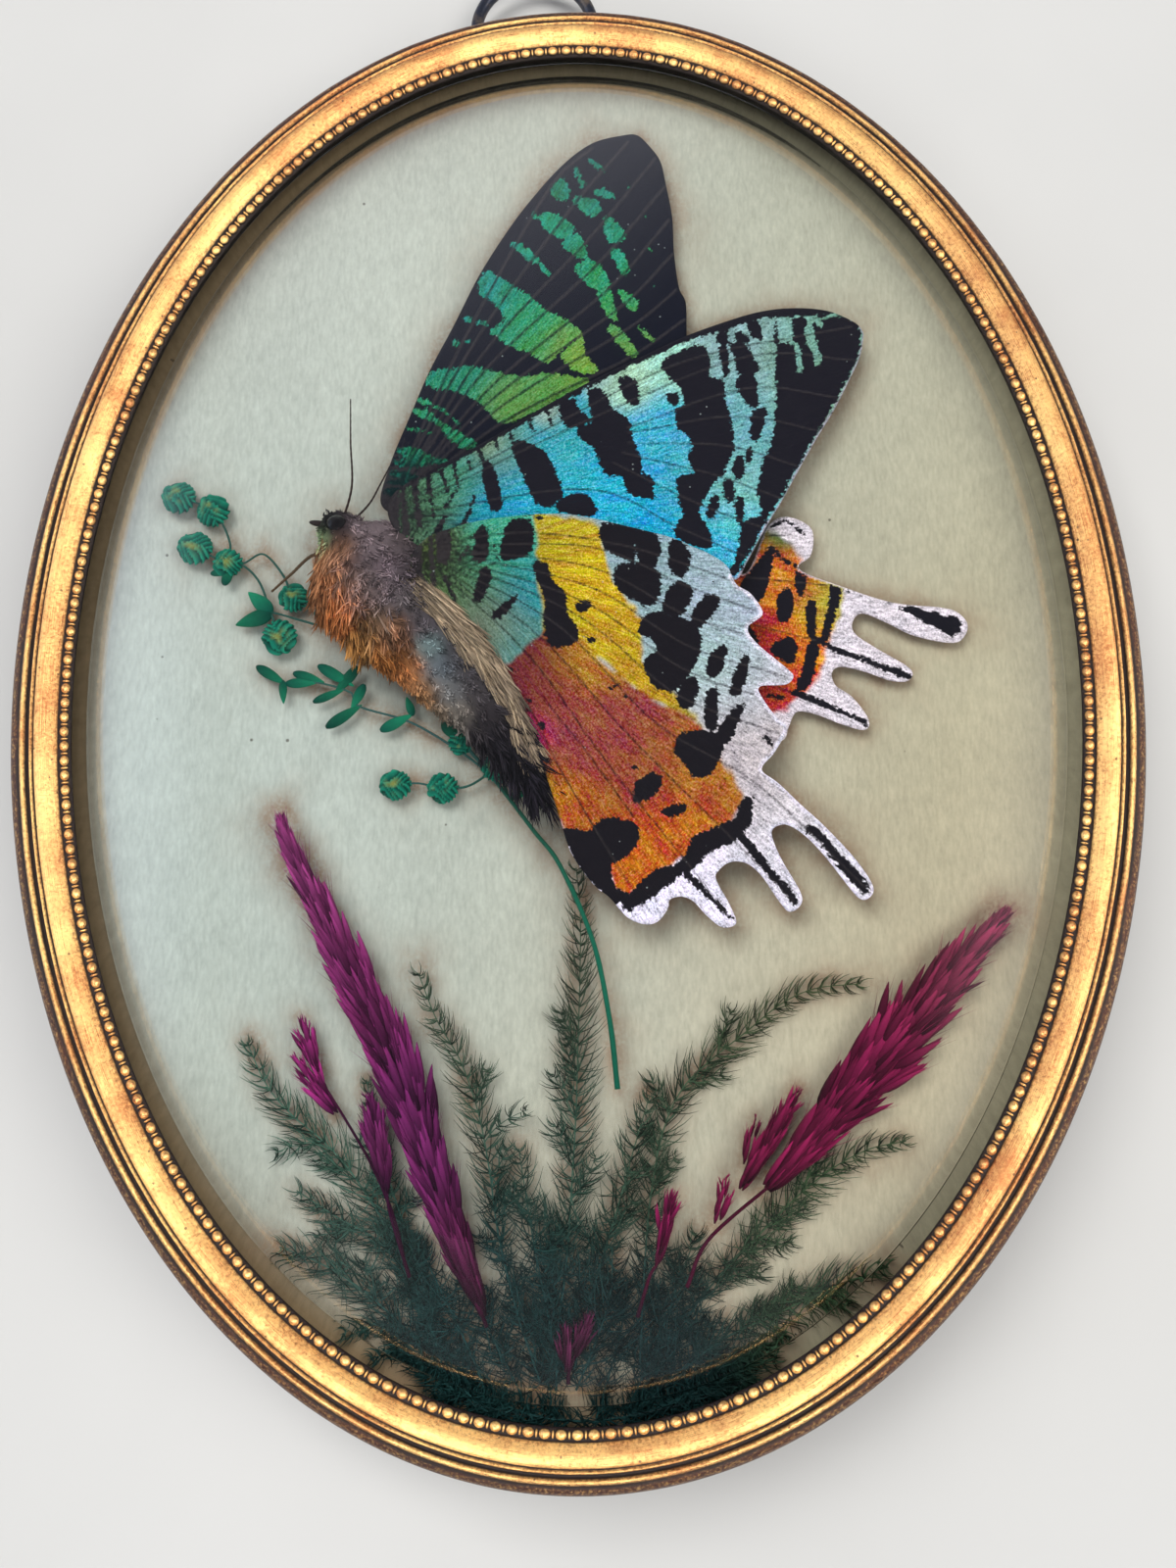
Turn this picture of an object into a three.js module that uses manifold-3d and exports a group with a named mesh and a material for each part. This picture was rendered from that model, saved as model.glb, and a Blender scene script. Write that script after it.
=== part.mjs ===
// Oval wall case: a gilt moulded frame with a beaded sight edge and a domed glass,
// holding a side-mounted sunset moth over dyed quaking grass, feather grass and fern.
// Millimetres. +X right, +Z up, the front faces -Y and the back rests on y = 0.

import * as THREE from 'three';
import { mergeVertices } from 'three/addons/utils/BufferGeometryUtils.js';
import Module from 'manifold-3d';

const wasm = await Module();
wasm.setup();

// ---------------------------------------------------------------- driving sizes

// The sight is the oval opening inside the beads. Every turned piece follows it, and is
// a little narrower at the top and bottom of the oval than at its sides.
const SIGHT = { halfWidth: 45.9, halfHeight: 63.75, endShare: 0.93 };
const OVAL_STEPS = 60;

const MOULDING = {
  backY: 0,
  crestY: -8.8,
  lipWidth: 0.5,
  rabbetY: -6.4,
  rabbetWidth: 1.3,
};

// The face of the moulding, from its back outer edge round to the sight:
// [millimetres outside the sight, millimetres behind the crest].
const MOULDING_FACE = {
  skirtAndRoll: [[5.55, 8.8], [5.95, 5.8], [6.0, 3.0], [5.75, 1.7], [5.2, 0.95], [4.7, 0.62]],
  ridges: [[4.15, 0.25], [3.9, 0.65], [3.7, 0.7], [3.35, 0.15], [3.08, 0.4]],
  slopingBand: [[2.85, 0], [2.0, 0.12], [1.05, 0.8]],
  beadRoll: [[0.85, 0.58], [0.5, 0.5], [0.15, 0.62], [0, 1.0], [0, 1.3]],
};

const GLASS = {
  rimFrontY: -6.1,
  thickness: 1.6,
  rimWidth: 1.0,
  domeInset: 0.8,
  rise: 10.5,
  steepness: 0.6,
  rings: 5,
};

const CARD = { frontY: -3.4, thickness: 0.8, rimWidth: 1.0 };
const BOARD = { frontY: -2.3, thickness: 2.3, rimWidth: 1.0 };

const RING = {
  x: -3.8,
  hingeY: 1.95,
  hingeZ: 69.3,
  wireRadius: 0.65,
  centreRadius: 6.4,
  wireSides: 6,
  steps: 32,
};

const STRAP = {
  plateFrontY: 0.3,
  plateBackY: 0.85,
  width: 3.0,
  plateLength: 9.6,
  eyeInnerRadius: 1.15,
  eyeOuterRadius: 1.65,
  eyeSides: 20,
  eyeOverlap: 0.25,
  rivetRadius: 0.95,
  rivetTipRadius: 0.65,
  rivetHeight: 0.4,
  rivetSides: 10,
};

// ------------------------------------------------------------- the layout sheet

// The specimens are arranged on a layout sheet, 1200 by 1600 units, held in front
// of an eye point. A sheet point lands on a depth plane along its line of sight.
const SHEET = { centreU: 600, centreV: 800, distance: 1200, height: 1600 };
const EYE = { x: 3.75, y: -111.5, z: -28.0, tiltDeg: 9.7, turnDeg: -1.4, rollDeg: 0.6 };

const eyePoint = new THREE.Vector3(EYE.x, EYE.y, EYE.z);
const eyeTurn = new THREE.Matrix4()
  .makeRotationY(THREE.MathUtils.degToRad(EYE.rollDeg))
  .multiply(new THREE.Matrix4().makeRotationZ(THREE.MathUtils.degToRad(-EYE.turnDeg)))
  .multiply(new THREE.Matrix4().makeRotationX(THREE.MathUtils.degToRad(EYE.tiltDeg)));

/** Where sheet point (u, v) lands on the plane at depth y. */
function land(u, v, y) {
  const sight = new THREE.Vector3(
    (u - SHEET.centreU) / SHEET.distance,
    1,
    -(v - SHEET.centreV) / SHEET.distance,
  );
  sight.applyMatrix4(eyeTurn);
  const reach = (y - eyePoint.y) / sight.y;
  return eyePoint.clone().addScaledVector(sight, reach);
}

/** A depth that runs evenly from one sheet point to another, and on past both. */
function slope(from, fromY, to, toY) {
  const du = to[0] - from[0];
  const dv = to[1] - from[1];
  const lengthSquared = du * du + dv * dv;
  return (u, v) => {
    const along = ((u - from[0]) * du + (v - from[1]) * dv) / lengthSquared;
    return fromY + (toY - fromY) * along;
  };
}

const level = (y) => () => y;

// ------------------------------------------------------------- shared geometry

/** Makes every face of a closed solid point outwards. */
function outward(geometry) {
  const place = geometry.getAttribute('position');
  const order = geometry.index.array;
  const corner = [0, 1, 2].map(() => new THREE.Vector3());
  let volume = 0;
  for (let i = 0; i < order.length; i += 3) {
    corner.forEach((point, k) => point.fromBufferAttribute(place, order[i + k]));
    volume += corner[0].dot(corner[1].clone().cross(corner[2]));
  }
  if (volume < 0) {
    for (let i = 0; i < order.length; i += 3) {
      [order[i], order[i + 1]] = [order[i + 1], order[i]];
    }
  }
  return geometry;
}

/** A geometry with its shared corners merged and only its positions kept. */
function welded(geometry) {
  const bare = geometry.clone();
  bare.deleteAttribute('normal');
  bare.deleteAttribute('uv');
  return outward(mergeVertices(bare, 1e-4));
}

function toSolid(geometry) {
  const closed = welded(geometry);
  const mesh = new wasm.Mesh({
    numProp: 3,
    vertProperties: new Float32Array(closed.getAttribute('position').array),
    triVerts: new Uint32Array(closed.index.array),
  });
  mesh.merge();
  return new wasm.Manifold(mesh);
}

function fromSolid(solid) {
  const mesh = solid.getMesh();
  const geometry = new THREE.BufferGeometry();
  geometry.setAttribute('position', new THREE.BufferAttribute(mesh.vertProperties, 3));
  geometry.setIndex(new THREE.BufferAttribute(mesh.triVerts, 1));
  return geometry;
}

/** Several closed geometries joined in one solid. */
function joined(geometries) {
  return geometries.map(toSolid).reduce((whole, piece) => whole.add(piece));
}

function moveVertices(geometry, rule) {
  const place = geometry.getAttribute('position');
  const point = new THREE.Vector3();
  for (let i = 0; i < place.count; i += 1) {
    rule(point.fromBufferAttribute(place, i));
    place.setXYZ(i, point.x, point.y, point.z);
  }
  return geometry;
}

/** Turns a profile of [offset outside the sight, y] and stretches it to the oval. */
function ovalTurned(profile) {
  const turned = new THREE.LatheGeometry(
    profile.map(([offset, y]) => new THREE.Vector2(SIGHT.halfWidth + offset, y)),
    OVAL_STEPS,
  );
  return outward(moveVertices(turned, (point) => {
    const radius = Math.hypot(point.x, point.z);
    const outside = radius - SIGHT.halfWidth;
    const stretch = outside > 0
      ? (outside * SIGHT.endShare + SIGHT.halfHeight) / radius
      : SIGHT.halfHeight / SIGHT.halfWidth;
    point.z *= stretch;
  }));
}

/** A tube of even thickness through points in space. */
function tube(points, radius, sides, steps) {
  const corners = Array.from({ length: sides }, (_, i) => {
    const turn = (i / sides) * Math.PI * 2;
    return new THREE.Vector2(Math.cos(turn) * radius, Math.sin(turn) * radius);
  });
  return new THREE.ExtrudeGeometry(new THREE.Shape(corners), {
    steps,
    bevelEnabled: false,
    extrudePath: new THREE.CatmullRomCurve3(points),
  });
}

/** A stalk on the layout sheet: [u, v, y] points. */
function stalk(route, radius, sides, steps) {
  return tube(route.map(([u, v, y]) => land(u, v, y)), radius, sides, steps);
}

/** A flat piece cut to an outline on the sheet, its middle plane at depth(u, v). */
function cutOut(outline, thickness, depth) {
  const shape = new THREE.Shape(
    outline.map(([u, v]) => new THREE.Vector2(u, SHEET.height - v)),
  );
  const plate = new THREE.ExtrudeGeometry(shape, { depth: thickness, bevelEnabled: false });
  return moveVertices(plate, (point) => {
    const u = point.x;
    const v = SHEET.height - point.y;
    point.copy(land(u, v, depth(u, v) + thickness / 2 - point.z));
  });
}

/** A round lump on the sheet: centre, half sizes in millimetres and its turn. */
function lump([u, v, y], [halfLong, halfDeep, halfWide], turnDeg, columns, rows) {
  const ball = new THREE.SphereGeometry(1, columns, rows);
  ball.rotateZ(Math.PI / 2);
  ball.scale(halfLong, halfDeep, halfWide);
  ball.rotateY(THREE.MathUtils.degToRad(turnDeg));
  const centre = land(u, v, y);
  ball.translate(centre.x, centre.y, centre.z);
  return ball;
}

/** A pointed seed case between two sheet points: a stretched octahedron. */
function seedCase(from, to, y, halfWide) {
  const start = land(from[0], from[1], y);
  const end = land(to[0], to[1], y);
  const along = end.clone().sub(start);
  const grain = new THREE.OctahedronGeometry(1, 0);
  grain.scale(along.length() / 2, halfWide, halfWide);
  grain.rotateY(-Math.atan2(along.z, along.x));
  const middle = start.add(end).multiplyScalar(0.5);
  grain.translate(middle.x, middle.y, middle.z);
  return grain;
}

// ---------------------------------------------------------------------- the case

function mouldingGeometry() {
  const { backY, crestY, lipWidth, rabbetY, rabbetWidth } = MOULDING;
  const face = Object.values(MOULDING_FACE).flat();
  return ovalTurned([
    [rabbetWidth, backY],
    ...face.map(([offset, behind]) => [offset, crestY + behind]),
    [lipWidth, rabbetY],
    [rabbetWidth, rabbetY],
    [rabbetWidth, backY],
  ]);
}

function glassGeometry() {
  const { rimFrontY, thickness, rimWidth, domeInset, rise, steepness, rings } = GLASS;
  const domeRadius = SIGHT.halfWidth - domeInset;
  const outerFace = [];
  for (let i = 0; i <= rings; i += 1) {
    const share = Math.sin((i / rings) * (Math.PI / 2));
    const height = rise * (1 - share * share) ** steepness;
    outerFace.push([domeRadius * share - SIGHT.halfWidth, rimFrontY - height]);
  }
  outerFace.push([rimWidth, rimFrontY]);
  const innerFace = outerFace.map(([offset, y]) => [offset, y + thickness]).reverse();
  return ovalTurned([...outerFace, ...innerFace]);
}

function discGeometry({ frontY, thickness, rimWidth }) {
  return ovalTurned([
    [-SIGHT.halfWidth, frontY],
    [rimWidth, frontY],
    [rimWidth, frontY + thickness],
    [-SIGHT.halfWidth, frontY + thickness],
  ]);
}

function ringGeometry() {
  const wire = new THREE.TorusGeometry(
    RING.centreRadius,
    RING.wireRadius,
    RING.wireSides,
    RING.steps,
  );
  wire.rotateX(Math.PI / 2);
  wire.translate(RING.x, RING.hingeY, RING.hingeZ + RING.centreRadius);
  return wire;
}

/** An upright prism of many sides, turned to lie along X at the ring's hinge. */
function hingeBarrel(radius, length) {
  const barrel = new THREE.CylinderGeometry(radius, radius, length, STRAP.eyeSides);
  barrel.rotateZ(Math.PI / 2);
  barrel.translate(RING.x, RING.hingeY, RING.hingeZ);
  return barrel;
}

/** The folded strap: a riveted plate with an eye at its top that the ring runs through. */
function strapGeometry() {
  const plateTop = RING.hingeZ - STRAP.eyeOverlap;
  const plateThickness = STRAP.plateBackY - STRAP.plateFrontY;
  const plate = new THREE.BoxGeometry(STRAP.width, plateThickness, STRAP.plateLength);
  plate.translate(
    RING.x,
    STRAP.plateFrontY + plateThickness / 2,
    plateTop - STRAP.plateLength / 2,
  );

  const rivetReach = STRAP.rivetHeight + plateThickness;
  const rivet = new THREE.CylinderGeometry(
    STRAP.rivetTipRadius,
    STRAP.rivetRadius,
    rivetReach,
    STRAP.rivetSides,
  );
  rivet.translate(
    RING.x,
    STRAP.plateFrontY + rivetReach / 2,
    plateTop - STRAP.plateLength + STRAP.width / 2,
  );

  const eye = hingeBarrel(STRAP.eyeOuterRadius, STRAP.width);
  const throat = hingeBarrel(STRAP.eyeInnerRadius, STRAP.width * 2);
  return fromSolid(joined([eye, plate, rivet]).subtract(toSolid(throat)));
}

// ---------------------------------------------------------------------- the moth

const WING_THICKNESS = 0.3;
const WING_CLEARANCE = 0.4;

const FAR_FOREWING = {
  outline: [
    [392, 520], [398, 482], [423, 421], [441, 380], [464, 337], [490, 286], [518, 242],
    [543, 209], [574, 175], [604, 153], [635, 145], [650, 145], [663, 157], [673, 171],
    [678, 191], [685, 227], [687, 263], [692, 298], [699, 314], [700, 350], [704, 385],
    [640, 440], [560, 480], [480, 512], [430, 530],
  ],
  depth: slope([405, 515], -6.4, [640, 150], -4.9),
};

const FAR_HINDWING = {
  outline: [
    [440, 560], [520, 530], [620, 520], [720, 540], [757, 588], [781, 541], [801, 530],
    [826, 542], [826, 568], [814, 583], [858, 601], [909, 617], [957, 622], [975, 628],
    [984, 641], [976, 656], [958, 657], [928, 650], [903, 638], [878, 628], [868, 636],
    [870, 648], [890, 662], [926, 684], [924, 696], [906, 696], [880, 687], [856, 682],
    [847, 688], [851, 701], [868, 713], [884, 735], [880, 746], [856, 740], [830, 730],
    [811, 728], [803, 744], [796, 757], [760, 762], [690, 700], [560, 630], [470, 600],
  ],
  depth: slope([450, 560], -5.6, [960, 640], -4.4),
};

const NEAR_FOREWING = {
  outline: [
    [405, 505], [456, 475], [490, 457], [528, 435], [569, 411], [614, 387], [660, 365],
    [699, 347], [744, 331], [777, 322], [809, 319], [842, 322], [868, 333], [877, 342],
    [878, 350], [874, 370], [864, 392], [850, 420], [833, 448], [818, 474], [805, 498],
    [794, 518], [781, 539], [762, 574], [751, 593], [738, 590], [690, 580], [610, 570],
    [520, 562], [430, 560], [400, 535],
  ],
  depth: slope([405, 525], -8.6, [860, 345], -5.9),
};

const NEAR_HINDWING = {
  outline: [
    [420, 575], [436, 552], [460, 542], [494, 533], [527, 529], [553, 527], [579, 527],
    [609, 532], [630, 537], [663, 545], [688, 552], [706, 560], [724, 568], [741, 580],
    [750, 598], [765, 608], [777, 628], [762, 642], [771, 658], [802, 684], [808, 692],
    [800, 700], [774, 702], [777, 714], [791, 733], [801, 742], [798, 753], [788, 770],
    [776, 786], [793, 800], [816, 822], [839, 843], [870, 876], [888, 903], [886, 915],
    [875, 917], [860, 900], [843, 878], [825, 858], [808, 845], [796, 842], [786, 850],
    [795, 875], [815, 910], [815, 924], [803, 930], [791, 916], [775, 893], [760, 881],
    [744, 880], [732, 889], [730, 898], [744, 924], [750, 942], [736, 946], [720, 934],
    [707, 920], [695, 915], [683, 918], [681, 927], [671, 940], [658, 943], [640, 936],
    [622, 916], [607, 904], [589, 881], [579, 861], [571, 834], [556, 787], [543, 748],
    [528, 712], [515, 684], [480, 640], [440, 605],
  ],
  depth: slope([440, 580], -9.2, [780, 850], -6.6),
};

// Lumps of the body: sheet point with depth, half sizes [along, deep, across], its turn.
const TORSO = {
  head: { at: [345, 541, -7.4], half: [1.5, 1.35, 1.2], turnDeg: 10 },
  neck: { at: [352, 560, -7.5], half: [1.9, 1.6, 1.8], turnDeg: 60 },
  collar: { at: [358, 596, -7.6], half: [4.0, 2.6, 3.4], turnDeg: 60 },
  thorax: { at: [398, 596, -7.5], half: [4.6, 2.5, 2.9], turnDeg: 68 },
  waist: { at: [437, 672, -7.4], half: [4.4, 2.0, 2.6], turnDeg: 50 },
  abdomen: { at: [478, 718, -7.3], half: [4.6, 1.9, 2.4], turnDeg: 50 },
  tail: { at: [520, 764, -7.2], half: [4.6, 1.7, 1.9], turnDeg: 52 },
};

const PALP = { at: [326, 538, -7.4], half: [0.9, 0.4, 0.35], turnDeg: 10 };

// Antennae and foreleg: sheet points with depths, and the radius in millimetres.
const LIMBS = {
  nearAntenna: {
    route: [[350, 540, -7.6], [361, 500, -7.0], [360, 455, -6.4], [360, 411, -5.9]],
    radius: 0.16,
  },
  farAntenna: {
    route: [[350, 545, -7.2], [377, 519, -6.7], [391, 495, -5.7], [404, 470, -5.1]],
    radius: 0.16,
  },
  foreleg: {
    route: [[345, 572, -6.8], [322, 569, -6.3], [300, 588, -5.9], [280, 606, -5.7]],
    radius: 0.17,
  },
};

/** Head, thorax and abdomen, each lump grown by the clearance asked for. */
function torsoGeometries(clearance = 0) {
  return Object.values(TORSO).map(({ at, half, turnDeg }) => (
    lump(at, half.map((size) => size + clearance), turnDeg, 10, 6)
  ));
}

function bodySolid() {
  return joined([
    ...torsoGeometries(),
    lump(PALP.at, PALP.half, PALP.turnDeg, 6, 4),
    ...Object.values(LIMBS).map(({ route, radius }) => stalk(route, radius, 5, 6)),
  ]);
}

function wingGeometry({ outline, depth }, keepClear) {
  const plate = toSolid(cutOut(outline, WING_THICKNESS, depth));
  const pieces = plate.subtract(keepClear).decompose();
  pieces.sort((a, b) => b.volume() - a.volume());
  return fromSolid(pieces[0]);
}

// -------------------------------------------------------------------- the plants

const GRASS = { y: -4.5, stemRadius: 0.3, stalkRadius: 0.16, headHalfDepth: 0.62 };

// Main stem from its root end up: [u, v, y].
const GRASS_STEM = [
  [630, 1110, -5.9], [622, 1040, -5.9], [605, 960, -5.9], [572, 884, -5.8], [545, 848, -5.2],
  [500, 790, GRASS.y], [440, 722, GRASS.y], [380, 668, GRASS.y], [334, 642, GRASS.y],
];

// Side stalks: [u, v].
const GRASS_STALKS = [
  [[334, 642], [318, 622], [302, 612]],
  [[334, 642], [306, 634], [279, 627], [262, 632]],
  [[300, 612], [292, 590], [272, 568], [252, 577], [235, 577]],
  [[279, 627], [268, 597], [252, 580], [235, 577], [203, 562]],
  [[235, 577], [238, 556], [221, 524], [187, 511]],
  [[279, 627], [284, 640], [288, 652]],
  [[500, 790], [468, 766], [420, 738], [368, 722], [360, 708], [326, 698], [292, 698], [272, 688]],
  [[440, 722], [458, 742], [471, 759]],
  [[500, 790], [478, 803], [453, 805], [428, 800], [405, 802]],
  [[520, 816], [514, 800], [505, 784]],
];

// Round heads: sheet point and radius in millimetres.
const GRASS_HEADS = [
  [187, 511, 1.65], [221, 524, 1.65], [203, 562, 1.7], [236, 577, 1.45], [302, 612, 1.45],
  [288, 652, 1.75], [471, 759, 1.2], [505, 784, 1.3], [453, 805, 1.5], [405, 802, 1.5],
];

// Pointed seed cases: from and to on the sheet, and half width in millimetres.
const GRASS_SEEDS = [
  [[281, 628], [256, 608], 0.6], [[281, 628], [244, 640], 0.75], [[218, 586], [240, 584], 0.5],
  [[266, 682], [293, 699], 0.5], [[291, 697], [292, 718], 0.5], [[303, 689], [332, 697], 0.5],
  [[295, 699], [325, 698], 0.5], [[328, 681], [362, 701], 0.55], [[367, 683], [344, 708], 0.55],
  [[323, 717], [353, 705], 0.45], [[373, 701], [361, 724], 0.5], [[336, 742], [370, 721], 0.5],
  [[391, 746], [421, 731], 0.55], [[455, 738], [470, 756], 0.55],
];

function grassSolid() {
  const { y, stemRadius, stalkRadius, headHalfDepth } = GRASS;
  const stalks = GRASS_STALKS.map((route) => (
    stalk(route.map(([u, v]) => [u, v, y]), stalkRadius, 4, (route.length - 1) * 2)
  ));
  return joined([
    stalk(GRASS_STEM, stemRadius, 6, 14),
    ...stalks,
    ...GRASS_HEADS.map(([u, v, r]) => lump([u, v, y], [r, headHalfDepth, r], 0, 8, 5)),
    ...GRASS_SEEDS.map(([from, to, halfWide]) => seedCase(from, to, y, halfWide)),
  ]);
}

// A feathered piece's width at its tip, and how far its points lean towards the tip.
const FEATHER = { tipShare: 0.3, lean: 0.5 };

/** A feathered outline along a centre line: points stand out, notches come back in. */
function featherOutline({ line, halfWidth, tips }, { widening, notchShare, baseShare }) {
  const centre = new THREE.CatmullRomCurve3(line.map(([u, v]) => new THREE.Vector3(u, v, 0)));
  const left = [];
  const right = [];
  for (let i = 1; i <= tips * 2; i += 1) {
    const along = i / (tips * 2);
    const isPoint = i % 2 === 1;
    const way = centre.getTangentAt(along);
    const at = centre.getPointAt(along);
    const opening = Math.min(1, FEATHER.tipShare + along * widening);
    const narrowing = 1 - (1 - baseShare) * along * along;
    const reach = halfWidth * opening * narrowing * (isPoint ? 1 : notchShare);
    if (isPoint) {
      at.addScaledVector(way, -halfWidth * FEATHER.lean);
    }
    left.push([at.x - way.y * reach, at.y + way.x * reach]);
    right.push([at.x + way.y * reach, at.y - way.x * reach]);
  }
  return [line[0], ...left, ...right.reverse()];
}

const FERN = {
  thickness: 0.4,
  widening: 2.0,
  notchShare: 0.42,
  baseShare: 0.6,
  sideY: -3.9,
  middleY: -4.6,
};

const FERN_SPRAYS = {
  fern_spray_left: {
    y: FERN.sideY,
    fronds: [
      {
        tips: 10,
        halfWidth: 27,
        line: [
          [255, 1062], [275, 1105], [300, 1135], [335, 1165], [365, 1200], [402, 1260],
          [436, 1335], [455, 1385],
        ],
      },
      {
        tips: 6,
        halfWidth: 24,
        line: [[306, 1212], [345, 1238], [390, 1265], [425, 1310], [448, 1370]],
      },
      {
        tips: 6,
        halfWidth: 26,
        line: [[290, 1268], [330, 1285], [370, 1310], [410, 1345], [448, 1385]],
      },
      {
        tips: 7,
        halfWidth: 18,
        line: [[376, 1100], [385, 1150], [400, 1205], [420, 1265], [444, 1340]],
      },
      {
        tips: 5,
        halfWidth: 22,
        line: [[392, 1345], [430, 1375], [465, 1403], [502, 1432]],
      },
      {
        tips: 5,
        halfWidth: 20,
        line: [[455, 1290], [462, 1340], [478, 1388], [505, 1430]],
      },
    ],
  },
  fern_spray_middle: {
    y: FERN.middleY,
    fronds: [
      {
        tips: 11,
        halfWidth: 27,
        line: [
          [428, 992], [447, 1040], [470, 1080], [488, 1130], [500, 1190], [510, 1260],
          [530, 1340], [552, 1405],
        ],
      },
      {
        tips: 14,
        halfWidth: 29,
        line: [
          [588, 885], [592, 930], [592, 990], [590, 1060], [588, 1130], [584, 1200],
          [578, 1290], [570, 1350], [568, 1414],
        ],
      },
      {
        tips: 6,
        halfWidth: 24,
        line: [[515, 1150], [530, 1200], [545, 1270], [560, 1340], [570, 1395]],
      },
      {
        tips: 7,
        halfWidth: 26,
        line: [[662, 1118], [648, 1165], [630, 1230], [606, 1310], [584, 1400]],
      },
      {
        tips: 5,
        halfWidth: 24,
        line: [[650, 1320], [632, 1355], [612, 1384], [588, 1410]],
      },
    ],
  },
  fern_spray_right: {
    y: FERN.sideY,
    fronds: [
      {
        tips: 12,
        halfWidth: 25,
        line: [
          [876, 1003], [830, 1008], [795, 1024], [760, 1052], [725, 1080], [694, 1112],
          [674, 1160], [662, 1230], [656, 1310], [652, 1390],
        ],
      },
      {
        tips: 10,
        halfWidth: 26,
        line: [
          [921, 1162], [885, 1170], [850, 1188], [815, 1215], [785, 1245], [750, 1280],
          [715, 1320], [685, 1365], [664, 1405],
        ],
      },
      {
        tips: 7,
        halfWidth: 25,
        line: [
          [901, 1287], [865, 1300], [830, 1316], [790, 1336], [750, 1354], [715, 1376],
          [690, 1400],
        ],
      },
      {
        tips: 5,
        halfWidth: 20,
        line: [[790, 1378], [750, 1390], [700, 1406], [648, 1424]],
      },
    ],
  },
};

const PLUME = {
  thickness: 0.6,
  widening: 1.3,
  notchShare: 0.62,
  baseShare: 0.45,
  stemRadius: 0.22,
};

const PLUMES = {
  feather_grass_left: {
    y: -6.0,
    tips: 11,
    halfWidth: 25,
    line: [
      [291, 842], [312, 890], [335, 940], [358, 990], [385, 1040], [408, 1090], [432, 1160],
      [455, 1230],
    ],
    stem: [[440, 1185], [462, 1260], [476, 1320]],
  },
  feather_grass_small: {
    y: -5.1,
    tips: 5,
    halfWidth: 15,
    line: [[316, 1044], [322, 1070], [332, 1100], [350, 1138]],
    stem: [[340, 1118], [378, 1180], [402, 1235], [414, 1280]],
  },
  feather_grass_bud: {
    y: -6.05,
    tips: 5,
    halfWidth: 13,
    line: [[380, 1118], [384, 1145], [390, 1175], [394, 1212]],
    stem: [[388, 1180], [400, 1235], [420, 1300]],
  },
  feather_grass_right: {
    y: -5.3,
    tips: 12,
    halfWidth: 37,
    line: [
      [1011, 944], [970, 990], [930, 1042], [893, 1088], [854, 1126], [814, 1163], [775, 1202],
      [733, 1246],
    ],
    stem: [[752, 1222], [722, 1262], [700, 1310]],
  },
  feather_grass_low: {
    y: -6.2,
    tips: 4,
    halfWidth: 12,
    line: [[683, 1216], [680, 1235], [674, 1262], [668, 1285]],
    stem: [[676, 1262], [662, 1300], [650, 1340]],
  },
  feather_grass_foot: {
    y: -5.45,
    tips: 5,
    halfWidth: 15,
    line: [[592, 1344], [588, 1362], [584, 1380], [581, 1398]],
    stem: [[584, 1380], [581, 1395], [580, 1406]],
  },
};

function fernSolid({ y, fronds }) {
  return joined(fronds.map((frond) => (
    cutOut(featherOutline(frond, FERN), FERN.thickness, level(y))
  )));
}

function plumeSolid(plume) {
  return joined([
    cutOut(featherOutline(plume, PLUME), PLUME.thickness, level(plume.y)),
    stalk(plume.stem.map(([u, v]) => [u, v, plume.y]), PLUME.stemRadius, 5, 4),
  ]);
}

// ------------------------------------------------------------------ the assembly

const FINISHES = {
  gilt: { color: 0xc08a4a, roughness: 0.35, metalness: 1.0 },
  brass: { color: 0x9a7b45, roughness: 0.5, metalness: 1.0 },
  blackWire: { color: 0x15161c, roughness: 0.35, metalness: 0.8 },
  glass: { color: 0xeef4f2, roughness: 0.03, metalness: 0.0, transparent: true, opacity: 0.25 },
  paper: { color: 0xc4c8b2, roughness: 0.95, metalness: 0.0 },
  board: { color: 0x8a6f4d, roughness: 0.95, metalness: 0.0 },
  fur: { color: 0x7a5a45, roughness: 0.95, metalness: 0.0 },
  farForewing: { color: 0x12263a, roughness: 0.6, metalness: 0.0 },
  farHindwing: { color: 0xc25a2a, roughness: 0.6, metalness: 0.0 },
  nearForewing: { color: 0x2f6f8a, roughness: 0.6, metalness: 0.0 },
  nearHindwing: { color: 0xb8852f, roughness: 0.6, metalness: 0.0 },
  grass: { color: 0x1e6b55, roughness: 0.7, metalness: 0.0 },
  fern: { color: 0x33463d, roughness: 0.85, metalness: 0.0 },
  plume: { color: 0x8c1d52, roughness: 0.8, metalness: 0.0 },
};

const wallCase = new THREE.Group();

function addPiece(name, geometry, finish) {
  const piece = new THREE.Mesh(geometry, new THREE.MeshStandardMaterial(FINISHES[finish]));
  piece.name = name;
  wallCase.add(piece);
}

addPiece('frame_moulding', mouldingGeometry(), 'gilt');
addPiece('dome_glass', glassGeometry(), 'glass');
addPiece('backing_card', discGeometry(CARD), 'paper');
addPiece('back_board', discGeometry(BOARD), 'board');
addPiece('ring_strap', strapGeometry(), 'brass');
addPiece('hanging_ring', ringGeometry(), 'blackWire');

const keepClear = joined(torsoGeometries(WING_CLEARANCE));
addPiece('moth_body', fromSolid(bodySolid()), 'fur');
addPiece('far_forewing', wingGeometry(FAR_FOREWING, keepClear), 'farForewing');
addPiece('far_hindwing', wingGeometry(FAR_HINDWING, keepClear), 'farHindwing');
addPiece('near_forewing', wingGeometry(NEAR_FOREWING, keepClear), 'nearForewing');
addPiece('near_hindwing', wingGeometry(NEAR_HINDWING, keepClear), 'nearHindwing');

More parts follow.
